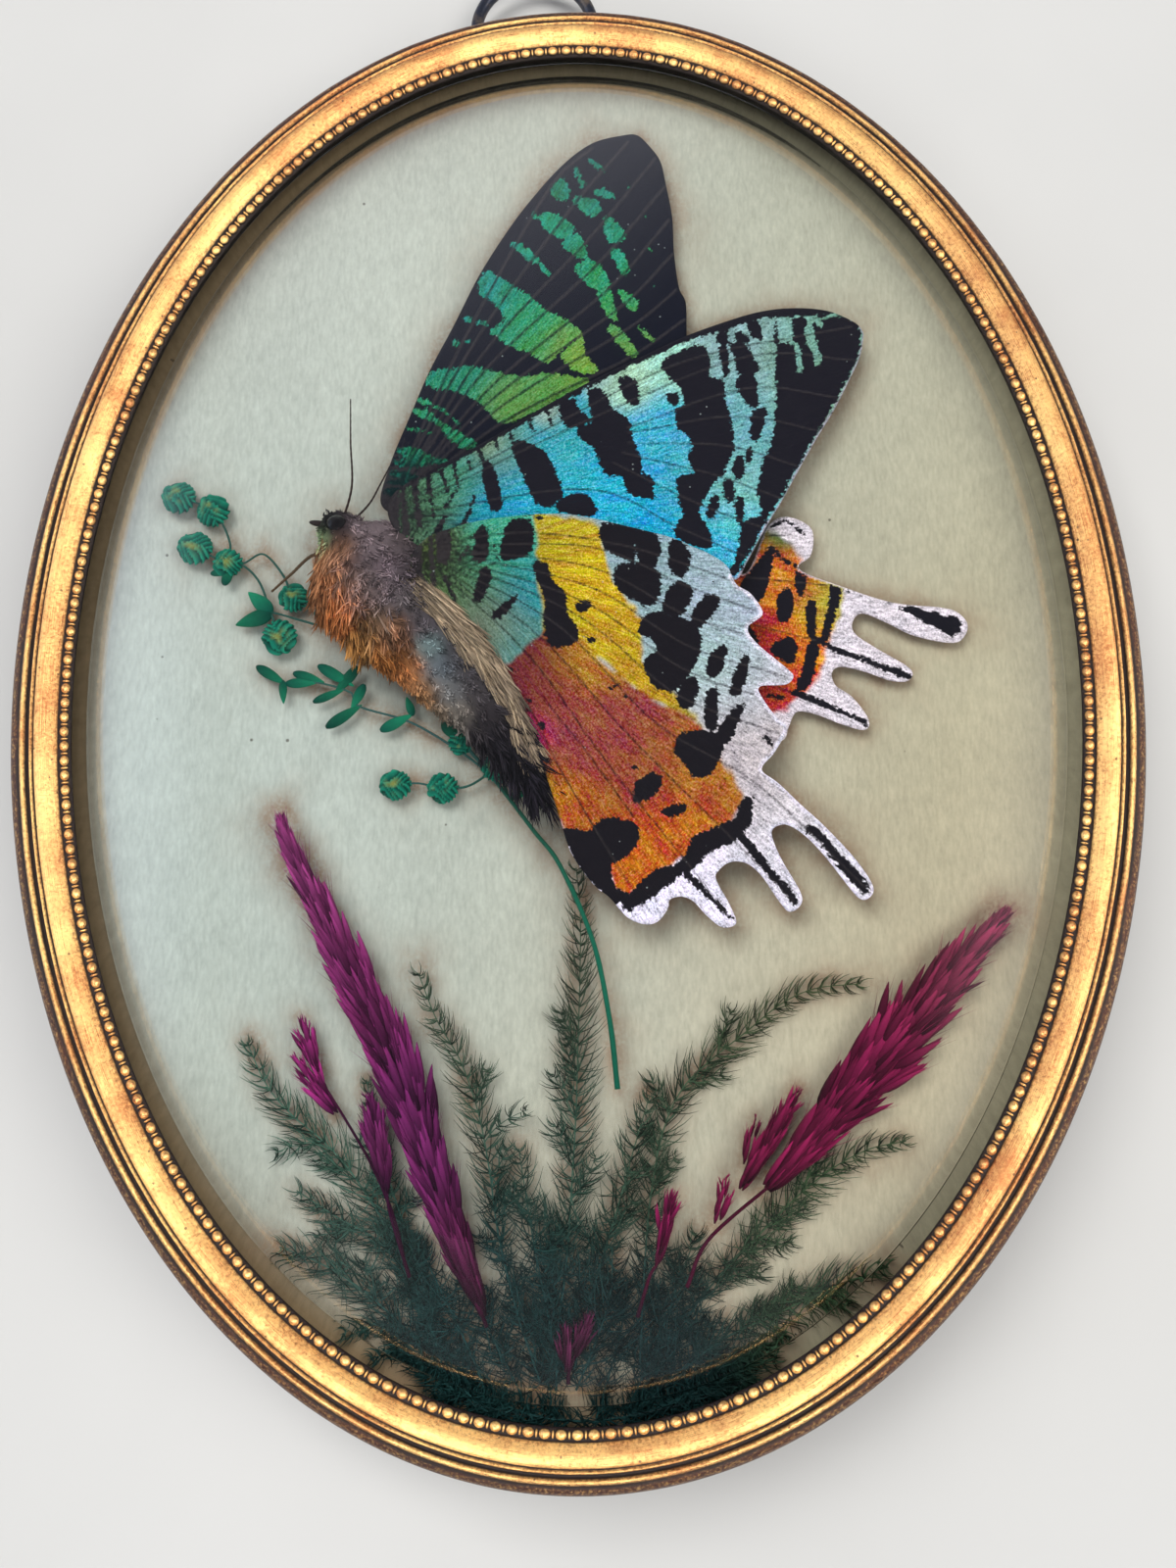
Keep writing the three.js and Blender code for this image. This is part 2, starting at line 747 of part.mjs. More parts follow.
addPiece('quaking_grass', fromSolid(grassSolid()), 'grass');
Object.entries(FERN_SPRAYS).forEach(([name, spray]) => {
  addPiece(name, fromSolid(fernSolid(spray)), 'fern');
});
Object.entries(PLUMES).forEach(([name, plume]) => {
  addPiece(name, fromSolid(plumeSolid(plume)), 'plume');
});

export default wallCase;
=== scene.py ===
"""Looks of an oval domed-glass wall frame with a mounted sunset moth over dried plants.

Sizes in the code are millimetres in the frame's own axes (+X right, +Z up, the glass
faces -Y). Meshes are written in metres. The specimens are arranged on a layout sheet of
1200 by 1600 units that is held in front of an eye point, and land from there on depths.
"""

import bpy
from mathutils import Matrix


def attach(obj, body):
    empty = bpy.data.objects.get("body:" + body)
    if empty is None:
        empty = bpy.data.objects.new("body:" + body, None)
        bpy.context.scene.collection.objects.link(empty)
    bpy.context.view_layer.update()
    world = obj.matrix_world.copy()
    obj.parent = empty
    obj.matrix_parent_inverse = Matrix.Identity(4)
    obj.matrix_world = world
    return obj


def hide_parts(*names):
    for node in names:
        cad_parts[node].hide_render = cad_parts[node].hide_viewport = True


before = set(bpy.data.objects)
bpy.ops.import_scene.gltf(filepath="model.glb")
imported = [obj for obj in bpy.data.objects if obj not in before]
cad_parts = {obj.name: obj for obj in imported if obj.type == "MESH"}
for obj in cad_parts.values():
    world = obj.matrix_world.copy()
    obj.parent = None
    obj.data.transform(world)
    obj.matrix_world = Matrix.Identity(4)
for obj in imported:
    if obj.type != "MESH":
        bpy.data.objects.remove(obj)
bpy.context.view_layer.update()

import logging
import math
from dataclasses import dataclass, field
from enum import Enum

import bpy
import numpy as np
from mathutils import Matrix, Vector, geometry

MM = 0.001
TAU = math.tau
LOG = logging.getLogger("moth_case")
Array = np.ndarray
Socket = bpy.types.NodeSocket
Node = bpy.types.Node
Material = bpy.types.Material
Piece = bpy.types.Object
Rng = np.random.Generator
# A line on the layout sheet and half the width that it takes up there.
WideLine = tuple[Array, float]


# ------------------------------------------------------------------ small maths helpers


def rgba(red: float, green: float, blue: float) -> tuple[float, float, float, float]:
    """A screen colour (0 to 255) as linear light, by the sRGB curve.

    Args:
        red, green, blue: the screen values.

    Returns:
        Linear red, green and blue, and 1 for alpha.
    """
    light = [
        value / 12.92 if value <= 0.04045 else ((value + 0.055) / 1.055) ** 2.4
        for value in (red / 255, green / 255, blue / 255)
    ]
    return (*light, 1.0)


def linear(red: float, green: float, blue: float) -> Array:
    """A screen colour's three linear values as an array."""
    return np.array(rgba(red, green, blue)[:3])


def line_length(points: Array) -> float:
    """The length of a chain of straight steps."""
    return np.sum(np.linalg.norm(np.diff(points, axis=0), axis=1))


def unit(vectors: Array) -> Array:
    """Each vector divided by its own length."""
    return vectors / np.maximum(np.linalg.norm(vectors, axis=-1, keepdims=True), 1e-12)


def ease(value: Array, low: float, high: float) -> Array:
    """A smooth step: 0 below low, 1 above high, and t*t*(3 - 2t) between them."""
    t = np.clip((value - low) / (high - low), 0.0, 1.0)
    return t * t * (3.0 - 2.0 * t)


def smooth_path(points: Array, count: int, closed: bool = False) -> Array:
    """A Catmull-Rom curve through the points, at even steps of its length.

    Each stretch is the cubic whose slope at a point is half the step between that
    point's two neighbours.

    Args:
        points: the points to pass through, one a row, with any number of columns.
        count: how many points to give back.
        closed: whether the curve runs back to its first point.

    Returns:
        The curve's points; a closed curve doesn't repeat its first one.
    """
    p = np.asarray(points, float)
    if closed:
        p = np.vstack([p[-1:], p, p[:2]])
    else:
        p = np.vstack([2 * p[:1] - p[1:2], p, 2 * p[-1:] - p[-2:-1]])
    t = np.linspace(0, 1, 16, endpoint=False)[None, :, None]
    a, b, c, d = (p[i : len(p) - 3 + i][:, None, :] for i in range(4))
    curve = 0.5 * (
        2 * b + (c - a) * t + (2 * a - 5 * b + 4 * c - d) * t**2
        + (3 * b - a - 3 * c + d) * t**3
    )
    curve = np.vstack([curve.reshape(-1, p.shape[1]), p[-2]])
    step = np.linalg.norm(np.diff(curve, axis=0), axis=1)
    length = np.concatenate([[0.0], np.cumsum(step)])
    wanted = np.linspace(0, length[-1], count, endpoint=not closed)
    return np.stack([np.interp(wanted, length, column) for column in curve.T], axis=-1)


def soft_noise(points: Array, cell: float, seed: int) -> Array:
    """Value noise between -1 and 1: random corner values of a square grid, eased between.

    Args:
        points: places in two columns.
        cell: the grid's step, in the points' own units.
        seed: picks the corner values.

    Returns:
        One value a point.
    """
    table = np.random.default_rng(seed).uniform(-1, 1, (256, 256))
    place = np.asarray(points, float) / cell
    corner = np.floor(place).astype(int)
    part = place - corner
    part = part * part * (3 - 2 * part)
    value = [
        table[(corner[:, 0] + i) % 256, (corner[:, 1] + j) % 256] for i in (0, 1) for j in (0, 1)
    ]
    low = value[0] + (value[1] - value[0]) * part[:, 1]
    high = value[2] + (value[3] - value[2]) * part[:, 1]
    return low + (high - low) * part[:, 0]


def line_distance(points: Array, line: Array, widths: Array | None = None) -> Array:
    """Distance from each point to a chain of straight steps, less the chain's half width.

    Args:
        points: places in two columns.
        line: the chain's corners in two columns.
        widths: half width at each corner, or None for a bare line.

    Returns:
        The distance, negative within the half width.
    """
    best = np.full(len(points), np.inf)
    half = np.zeros(len(line)) if widths is None else widths
    for start, end, first, last in zip(line[:-1], line[1:], half[:-1], half[1:]):
        way = end - start
        share = np.clip((points - start) @ way / max(way @ way, 1e-9), 0, 1)
        gap = np.linalg.norm(points - start - share[:, None] * way, axis=1)
        best = np.minimum(best, gap - (first + (last - first) * share))
    return best


def patch_distance(points: Array, outline: Array) -> Array:
    """Signed distance to a closed outline, negative inside.

    Inside is found by counting the outline's crossings to the right of each point.

    Args:
        points: places in two columns.
        outline: the outline's corners in two columns.

    Returns:
        One distance a point.
    """
    loop = np.vstack([outline, outline[:1]])
    inside = np.zeros(len(points), bool)
    for start, end in zip(loop[:-1], loop[1:]):
        spans = (start[1] > points[:, 1]) != (end[1] > points[:, 1])
        rise = end[1] - start[1] if end[1] != start[1] else 1e-9
        crossing = start[0] + (points[:, 1] - start[1]) * (end[0] - start[0]) / rise
        inside ^= spans & (points[:, 0] < crossing)
    distance = line_distance(points, loop)
    return np.where(inside, -distance, distance)


def read_points(text: str) -> Array:
    """Sheet points written as 'u,v u,v ...', with as many numbers a point as are given."""
    return np.array([[float(n) for n in point.split(",")] for point in text.split()])


def read_patches(text: str) -> list[Array]:
    """One outline or line a text row, each written as read_points reads it."""
    return [read_points(row) for row in text.strip().splitlines()]


def read_branches(text: str, step: float, least: int = 2) -> list[tuple[float, Array]]:
    """Text rows of a half width and a line, tip first.

    Args:
        text: the rows.
        step: the wanted spacing of the line's points.
        least: the fewest points of a line.

    Returns:
        Each row's half width and its smooth line.
    """
    branches = []
    for row in text.strip().splitlines():
        half, route = row.split(maxsplit=1)
        corners = read_points(route)
        count = max(int(line_length(corners) / step), least)
        branches.append((float(half), smooth_path(corners, count)))
    return branches


# ------------------------------------------------------------------------ layout sheet


@dataclass(frozen=True)
class LayoutSheet:
    """The sheet that the specimens are arranged on, and the eye point behind it."""

    eye: tuple[float, float, float] = (3.75, -111.5, -28.0)
    tilt_deg: float = 9.7
    turn_deg: float = -1.4
    roll_deg: float = 0.6
    centre: tuple[float, float] = (600.0, 800.0)
    distance: float = 1200.0

    def axes(self) -> Array:
        """Columns right, forward and up of the eye: roll about Y, turn about Z, tilt about X."""
        turned = (
            Matrix.Rotation(math.radians(self.roll_deg), 3, "Y")
            @ Matrix.Rotation(math.radians(-self.turn_deg), 3, "Z")
            @ Matrix.Rotation(math.radians(self.tilt_deg), 3, "X")
        )
        return np.array(turned)

    def land(self, places: Array, depth: Array | float) -> Array:
        """Where sheet points land at given depths.

        A line of sight runs from the eye through (u, v); it is followed until its y is
        the depth.

        Args:
            places: sheet points in two columns.
            depth: the y of each, or one y for all.

        Returns:
            Points in millimetres.
        """
        places = np.asarray(places, float)
        across = (places[:, 0] - self.centre[0]) / self.distance
        up = -(places[:, 1] - self.centre[1]) / self.distance
        sight = np.stack([across, np.ones_like(across), up], -1) @ self.axes().T
        eye = np.array(self.eye)
        reach = (np.broadcast_to(depth, across.shape) - eye[1]) / sight[:, 1]
        return eye + sight * reach[:, None]

    def seen_at(self, points: Array) -> Array:
        """The sheet points that lie on the lines of sight to points of the case."""
        seen = (points - np.array(self.eye)) @ self.axes()
        u = self.centre[0] + self.distance * seen[:, 0] / seen[:, 1]
        v = self.centre[1] - self.distance * seen[:, 2] / seen[:, 1]
        return np.stack([u, v], -1)


SHEET = LayoutSheet()


@dataclass(frozen=True)
class DepthPlane:
    """A depth that runs evenly from one sheet point to another, and on past both."""

    start: tuple[float, float]
    start_y: float
    end: tuple[float, float]
    end_y: float

    def at(self, places: Array) -> Array:
        """The depth at each sheet point."""
        way = np.subtract(self.end, self.start)
        share = (places - np.array(self.start)) @ way / (way @ way)
        return self.start_y + (self.end_y - self.start_y) * share


@dataclass(frozen=True)
class SightOval:
    """The oval opening that every turned piece of the case follows."""

    half_width: float = 45.9
    half_height: float = 63.75
    end_share: float = 0.93

    def sweep(self, offsets: Array, depths: Array, turns: Array) -> Array:
        """A profile carried round the oval.

        Outside the sight an offset is added to both half sizes, a little less at the
        oval's ends; inside it both half sizes shrink in the same share.

        Args:
            offsets: millimetres outside the sight, one a profile point.
            depths: the y of each profile point.
            turns: angles in radians from +X.

        Returns:
            Points as an array of turns by profile points by 3.
        """
        radius = self.half_width + offsets
        height = np.where(
            offsets > 0,
            self.half_height + offsets * self.end_share,
            radius * self.half_height / self.half_width,
        )
        x = np.cos(turns)[:, None] * radius
        z = np.sin(turns)[:, None] * height
        return np.stack([x, np.broadcast_to(depths, x.shape), z], -1)

    def even_turns(self, offset: float, count: int) -> Array:
        """Angles that stand evenly spaced by length along the oval at an offset."""
        fine = np.linspace(-TAU / 4, TAU * 3 / 4, 6001)
        line = self.sweep(np.array([offset]), np.zeros(1), fine)[:, 0]
        length = np.cumsum(np.linalg.norm(np.diff(line, axis=0, prepend=line[:1]), axis=1))
        return np.interp(np.arange(count) / count * length[-1], length, fine)


OVAL = SightOval()


# ---------------------------------------------------------------------- mesh as arrays


@dataclass
class Surface:
    """A mesh as arrays: points in millimetres, blocks of faces, and values on both."""

    points: Array
    faces: list[Array]
    corner_uv: list[Array] | None = None
    fields: dict[str, Array] = field(default_factory=dict)

    def outward(self) -> "Surface":
        """Turns all faces round if the volume, a sixth of the sum of corner triple
        products, comes out negative."""
        volume = 0.0
        for block in self.faces:
            corner = self.points[block]
            for k in range(1, block.shape[1] - 1):
                cross = np.cross(corner[:, k], corner[:, k + 1])
                volume += float(np.sum(corner[:, 0] * cross))
        if volume < 0:
            self.faces = [block[:, ::-1] for block in self.faces]
            if self.corner_uv is not None:
                self.corner_uv = [block[:, ::-1] for block in self.corner_uv]
        return self

    def plain(self, *keys: str) -> "Surface":
        """The same mesh without uv, and with only the named fields."""
        return Surface(self.points, self.faces, None, {key: self.fields[key] for key in keys})

    def with_field(self, name: str, values: Array | float) -> "Surface":
        """Adds one value, or one row of values, for each point."""
        values = np.asarray(values, float)
        if values.ndim < 1 or len(values) != len(self.points):
            values = np.broadcast_to(values, (len(self.points), *values.shape)).copy()
        self.fields[name] = values
        return self

    @staticmethod
    def joined(parts: list["Surface"]) -> "Surface":
        """Several surfaces in one, keeping the fields that the first one has."""
        starts = np.cumsum([0] + [len(part.points) for part in parts[:-1]])
        faces = [block + start for part, start in zip(parts, starts) for block in part.faces]
        keys = parts[0].fields
        fields = {key: np.concatenate([part.fields[key] for part in parts]) for key in keys}
        uv = None
        if all(part.corner_uv is not None for part in parts):
            uv = [block for part in parts for block in part.corner_uv]
        return Surface(np.concatenate([part.points for part in parts]), faces, uv, fields)

    def to_piece(
        self,
        name: str,
        material: Material,
        slot: str,
        body: str = "case",
        replaces: tuple[str, ...] = (),
        smooth: bool = True,
    ) -> Piece:
        """Writes the arrays to a new mesh object and hangs it on its body.

        Args:
            name: the piece's name.
            material: its finish.
            slot: the record's material slot; not used.
            body: the body that it moves with.
            replaces: the frame's nodes that it stands for.
            smooth: whether the faces are shaded smooth.

        Returns:
            The new object.
        """
        mesh = bpy.data.meshes.new(name)
        corners = np.concatenate([block.ravel() for block in self.faces]).astype(np.int32)
        sizes = np.concatenate([np.full(len(b), b.shape[1]) for b in self.faces])
        starts = np.concatenate([[0], np.cumsum(sizes)[:-1]]).astype(np.int32)
        mesh.vertices.add(len(self.points))
        mesh.vertices.foreach_set("co", (self.points * MM).astype(np.float32).ravel())
        mesh.loops.add(len(corners))
        mesh.loops.foreach_set("vertex_index", corners)
        mesh.polygons.add(len(sizes))
        mesh.polygons.foreach_set("loop_start", starts)
        mesh.polygons.foreach_set("use_smooth", np.full(len(sizes), smooth))
        if self.corner_uv is not None:
            uv = np.concatenate([block.reshape(-1, 2) for block in self.corner_uv])
            mesh.uv_layers.new(name="UVMap").data.foreach_set("uv", uv.astype(np.float32).ravel())
        for key, values in self.fields.items():
            if values.ndim == 1:
                layer = mesh.attributes.new(key, "FLOAT", "POINT")
                layer.data.foreach_set("value", values.astype(np.float32))
            else:
                layer = mesh.attributes.new(key, "FLOAT_COLOR", "POINT")
                full = np.ones((len(values), 4), np.float32)
                full[:, :3] = values[:, :3]
                layer.data.foreach_set("color", full.ravel())
        mesh.update(calc_edges=True)
        mesh.materials.append(material)
        piece = bpy.data.objects.new(name, mesh)
        bpy.context.scene.collection.objects.link(piece)
        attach(piece, body)
        if replaces:
            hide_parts(*replaces)
        LOG.info("%s: %d points, %d faces", name, len(self.points), len(sizes))
        return piece


def grid(points: Array, wrap_rows: bool = False, wrap_columns: bool = False) -> Surface:
    """Quads between the neighbours of a grid of points, with u across and v down it.

    Args:
        points: an array of rows by columns by 3.
        wrap_rows, wrap_columns: whether the last row or column joins the first.

    Returns:
        The surface, with its own uv at each face corner.
    """
    rows, columns = points.shape[:2]
    row_steps = rows if wrap_rows else rows - 1
    column_steps = columns if wrap_columns else columns - 1
    r, c = np.meshgrid(np.arange(row_steps), np.arange(column_steps), indexing="ij")
    corner = [(r, c), (r, c + 1), (r + 1, c + 1), (r + 1, c)]
    quads = np.stack([(i % rows) * columns + j % columns for i, j in corner], -1)
    uv = np.stack([np.stack([j / column_steps, i / row_steps], -1) for i, j in corner], -2)
    return Surface(points.reshape(-1, 3), [quads.reshape(-1, 4)], [uv.reshape(-1, 4, 2)])


def closed_tube(rings: Array) -> Surface:
    """Rings of points joined in a tube, each end closed by a fan to its middle.

    Args:
        rings: an array of rings by points by 3.

    Returns:
        A closed surface with a field 'along' that runs from 0 to 1.
    """
    count, sides = rings.shape[:2]
    wall = grid(rings, wrap_columns=True)
    ends = np.stack([rings[0].mean(0), rings[-1].mean(0)])
    here = np.arange(sides)
    after = (here + 1) % sides
    first = np.stack([after, here, np.full(sides, count * sides)], -1)
    last_row = (count - 1) * sides
    last = np.stack([here + last_row, after + last_row, np.full(sides, count * sides + 1)], -1)
    blank = np.zeros((sides, 3, 2))
    along = np.concatenate([np.repeat(np.linspace(0, 1, count), sides), [0.0, 1.0]])
    return Surface(
        np.vstack([wall.points, ends]),
        [*wall.faces, first, last],
        [*wall.corner_uv, blank, blank + 1.0],
        {"along": along},
    ).outward()


def tube(path: Array, radii: Array | float, sides: int) -> Surface:
    """Rings round a path: middle + radius * (cos a * across + sin a * deep).

    Across stands square to the path and to Y, and deep square to both.

    Args:
        path: the middle of each ring.
        radii: each ring's radius, or one for all.
        sides: points in a ring.

    Returns:
        The closed tube.
    """
    way = unit(np.gradient(path, axis=0))
    across = unit(np.cross(way, [0.0, 1.0, 0.0]))
    deep = np.cross(across, way)
    angle = np.arange(sides) * TAU / sides
    ring = np.cos(angle)[:, None] * across[:, None] + np.sin(angle)[:, None] * deep[:, None]
    radius = np.broadcast_to(radii, len(path))[:, None, None]
    return closed_tube(path[:, None] + radius * ring)


def unit_ball(rows: int, columns: int) -> Array:
    """Rings of a ball of radius 1 about the X axis, the end rings drawn almost to points."""
    lean = np.linspace(0.04, math.pi - 0.04, rows)[:, None]
    angle = np.arange(columns)[None] * TAU / columns
    x = -np.cos(lean) * np.ones_like(angle)
    return np.stack([x, np.sin(lean) * np.cos(angle), np.sin(lean) * np.sin(angle)], -1)


def turned_about_y(points: Array, turn_deg: float) -> Array:
    """Points turned about Y, so that +X leans down towards -Z as the angle grows."""
    c, s = math.cos(math.radians(turn_deg)), math.sin(math.radians(turn_deg))
    x, y, z = points[..., 0], points[..., 1], points[..., 2]
    return np.stack([x * c + z * s, y, z * c - x * s], -1)


def scattered(form: Surface, origins: Array, axes: Array) -> Surface:
    """Copies of a small form: each point is its origin plus its axes times the form's point.

    Args:
        form: the form about (0, 0, 0), in triangles or quads.
        origins: one place a copy.
        axes: one 3 by 3 matrix a copy, its columns where the form's x, y and z go.

    Returns:
        All copies in one surface, with the form's fields and a field 'shade', one random
        value from 0 to 1 a copy.
    """
    count, size = len(origins), len(form.points)
    points = origins[:, None] + np.einsum("nij,kj->nki", axes, form.points)
    step = (np.arange(count) * size)[:, None, None]
    faces = [(block[None] + step).reshape(-1, block.shape[1]) for block in form.faces]
    shade = np.random.default_rng(count).uniform(0, 1, count)
    fields = {key: np.tile(values, count) for key, values in form.fields.items()}
    fields["shade"] = np.repeat(shade, size)
    return Surface(points.reshape(-1, 3), faces, None, fields)


def blade_form(bend: float, rings: int = 3, taper: float = 0.7) -> Surface:
    """A three-sided pointed blade along +X, of length 1, that bends towards +Z.

    Its half width is (1 - along)^taper and its rise is bend * along^2.

    Args:
        bend: how far the tip stands from the X axis.
        rings: rings of points along it.
        taper: how fast it narrows.

    Returns:
        The closed blade.
    """
    along = np.linspace(0, 0.97, rings)
    path = np.stack([along, np.zeros(rings), bend * along**2], -1)
    return tube(path, (1 - along) ** taper, 3)


def axes_along(way: Array, lengths: Array, widths: Array, roll: Array) -> Array:
    """Axes for copies of a form that lies along +X.

    Args:
        way: where each copy's +X points.
        lengths, widths: its size along and across.
        roll: its turn about its own length, in radians.

    Returns:
        One 3 by 3 matrix a copy.
    """
    x = unit(way)
    side = unit(np.cross(x, np.array([0.06, 1.0, 0.03])))
    deep = np.cross(x, side)
    c, s = np.cos(roll)[:, None], np.sin(roll)[:, None]
    y, z = side * c + deep * s, deep * c - side * s
    sizes = np.stack([lengths, widths, widths], -1)
    return np.stack([x, y, z], -1) * sizes[:, None, :]


# ----------------------------------------------------------------------------- shaders


class NodeTree:
    """Short calls for the nodes that the finishes and effects are made of."""

    def __init__(self, tree: bpy.types.NodeTree) -> None:
        """Takes an empty node tree to fill."""
        self.tree = tree

    def add(self, kind: str, **settings: object) -> Node:
        """A new node of that kind with its own settings."""
        node = self.tree.nodes.new("ShaderNode" + kind)
        for key, value in settings.items():
            setattr(node, key, value)
        return node

    def join(self, source: object, target: Socket) -> None:
        """Links a socket, or writes a plain value, into a target socket."""
        if isinstance(source, Socket):
            self.tree.links.new(source, target)
        else:
            target.default_value = source

    def feed(self, node: Node, **sources: object) -> None:
        """Joins a socket or a plain value to each named input; _ stands for a space."""
        for key, source in sources.items():
            self.join(source, node.inputs[key.replace("_", " ")])

    def math(self, how: str, first: object, second: object = 0.0) -> Socket:
        """One Math node's result."""
        node = self.add("Math", operation=how)
        self.join(first, node.inputs[0])
        self.join(second, node.inputs[1])
        return node.outputs[0]

    def times(self, first: object, second: object) -> Socket:
        """The product of two values."""
        return self.math("MULTIPLY", first, second)

    def total(self, *terms: object) -> Socket:
        """The sum of the terms; a pair counts as its product."""
        total = None
        for term in terms:
            value = self.times(*term) if isinstance(term, tuple) else term
            total = value if total is None else self.math("ADD", total, value)
        return total

    def span(self, value: object, low: float, high: float, to: tuple = (0.0, 1.0)) -> Socket:
        """A value mapped from low..high to the span 'to', and held there."""
        node = self.add("MapRange")
        self.feed(node, Value=value, From_Min=low, From_Max=high, To_Min=to[0], To_Max=to[1])
        return node.outputs[0]

    def mix(self, share: object, first: object, second: object, how: str = "MIX") -> Socket:
        """Two colours mixed by a share."""
        node = self.add("Mix", data_type="RGBA", blend_type=how)
        for place, source in ((0, share), (6, first), (7, second)):
            self.join(source, node.inputs[place])
        return node.outputs[2]

    def lit(self, colour: Socket, light: Socket) -> Socket:
        """A colour whose three parts are multiplied by one value."""
        grey = self.add("CombineColor")
        for part in grey.inputs:
            self.join(light, part)
        return self.mix(1.0, colour, grey.outputs[0], "MULTIPLY")

    def place(self, stretch: tuple = (1, 1, 1), source: str = "Object") -> Socket:
        """Object or UV coordinates, stretched along the axes."""
        mapping = self.add("Mapping")
        self.feed(mapping, Scale=stretch, Vector=self.add("TexCoord").outputs[source])
        return mapping.outputs[0]

    def noise(
        self, place: Socket, scale: object, detail: float = 3.0, rough: float = 0.55
    ) -> Socket:
        """Plain noise between about 0.2 and 0.8."""
        node = self.add("TexNoise")
        self.feed(node, Vector=place, Scale=scale, Detail=detail, Roughness=rough)
        return node.outputs[0]

    def stored(self, name: str, what: str = "Fac") -> Socket:
        """A value stored on the mesh's points."""
        return self.add("Attribute", attribute_name=name).outputs[what]

    def effect(self, name: str, **values: object) -> Node:
        """A shared effect's group, with its inputs linked or set."""
        node = self.add("Group")
        node.node_tree = EFFECTS[name]
        self.feed(node, **values)
        return node

    def specks(self, scale: float, size: float, share: float) -> Socket:
        """The shared specks' mask on object coordinates."""
        dots = self.effect("specks", Place=self.place(), Scale=scale, Size=size, Share=share)
        return dots.outputs[0]

    def either(self, share: Socket, first: Socket, clear: tuple) -> Socket:
        """A shader, or plain see-through of the clear tint where the share is 1."""
        see_through = self.add("BsdfTransparent")
        see_through.inputs[0].default_value = clear
        node = self.add("MixShader")
        for place, source in enumerate((share, first, see_through.outputs[0])):
            self.join(source, node.inputs[place])
        return node.outputs[0]


def new_group(name: str, inputs: dict[str, float | None], outputs: tuple[str, ...]) -> tuple:
    """An empty shader group.

    Args:
        name: the group's name.
        inputs: each input's name and first value; None makes a vector.
        outputs: the names of its float outputs.

    Returns:
        The tree's helper, the sockets inside that the inputs give, and the output node.
    """
    group = bpy.data.node_groups.new(name, "ShaderNodeTree")
    for key, value in inputs.items():
        kind = "NodeSocketVector" if value is None else "NodeSocketFloat"
        made = group.interface.new_socket(name=key, in_out="INPUT", socket_type=kind)
        if value is not None:
            made.default_value = value
    for key in outputs:
        group.interface.new_socket(name=key, in_out="OUTPUT", socket_type="NodeSocketFloat")
    given = group.nodes.new("NodeGroupInput").outputs
    return NodeTree(group), given, group.nodes.new("NodeGroupOutput")


def make_edge_effect() -> bpy.types.NodeTree:
    """Ragged edge: a stored distance, pushed about by noise, becomes a mask.

    Mask is 1 where distance + (noise - 0.5) * ragged is below zero, and fades over soft.
    """
    inputs = {"Place": None, "Distance": 0.0, "Ragged": 3.0, "Soft": 0.5, "Scale": 2600.0}
    tree, given, target = new_group("ragged_edge", inputs, ("Mask",))
    noise = tree.noise(given["Place"], given["Scale"], rough=0.5)
    pushed = tree.total(given["Distance"], (tree.total(noise, -0.5), given["Ragged"]))
    share = tree.math("DIVIDE", pushed, given["Soft"])
    tree.feed(target, Mask=tree.span(share, 1.0, -1.0))
    return tree.tree


def make_grain_effect() -> bpy.types.NodeTree:
    """Grain: coarse and fine noise added, as a value round 1 and as a height."""
    inputs = {"Place": None, "Scale": 900.0, "Amount": 0.3}
    tree, given, target = new_group("grain", inputs, ("Value", "Height"))
    sizes = (tree.times(given["Scale"], factor) for factor in (1.0, 5.0))
    both = tree.total(*(tree.noise(given["Place"], size, 4.0, 0.5) for size in sizes))
    swing = tree.times(tree.total(both, -1.0), given["Amount"])
    tree.feed(target, Value=tree.total(swing, 1.0), Height=both)
    return tree.tree


def make_speck_effect() -> bpy.types.NodeTree:
    """Specks: dots of a size round a share of scattered points."""
    inputs = {"Place": None, "Scale": 900.0, "Size": 0.12, "Share": 0.5}
    tree, given, target = new_group("specks", inputs, ("Mask",))
    cells = tree.add("TexVoronoi")
    tree.feed(cells, Vector=given["Place"], Scale=given["Scale"])
    kept = tree.add("SeparateColor")
    tree.feed(kept, Color=cells.outputs["Color"])
    chosen = tree.math("LESS_THAN", kept.outputs[0], given["Share"])
    near = tree.math("LESS_THAN", cells.outputs["Distance"], given["Size"])
    tree.feed(target, Mask=tree.times(chosen, near))
    return tree.tree


EFFECTS = {
    "edge": make_edge_effect(),
    "grain": make_grain_effect(),
    "specks": make_speck_effect(),
}


@dataclass(frozen=True)
class Finish:
    """What every finish shares: a name, and a Principled surface to feed."""

    name: str

    def make(self) -> Material:
        """The finished material."""
        material = bpy.data.materials.new(self.name)
        material.use_nodes = True
        material.node_tree.nodes.clear()
        tree = NodeTree(material.node_tree)
        surface = tree.add("BsdfPrincipled")
        output = tree.add("OutputMaterial")
        tree.feed(output, Surface=self.paint(tree, surface) or surface.outputs[0])
        return material

    def paint(self, tree: NodeTree, surface: Node) -> Socket | None:
        """Feeds the surface; a finish that needs its own last shader gives it back."""
        raise NotImplementedError

    @staticmethod
    def relief(tree: NodeTree, surface: Node, height: object, depth: float) -> None:
        """A bump of so many metres into the surface's normal."""
        bump = tree.add("Bump")
        tree.feed(bump, Strength=1.0, Distance=depth, Height=height)
        tree.feed(surface, Normal=bump.outputs[0])


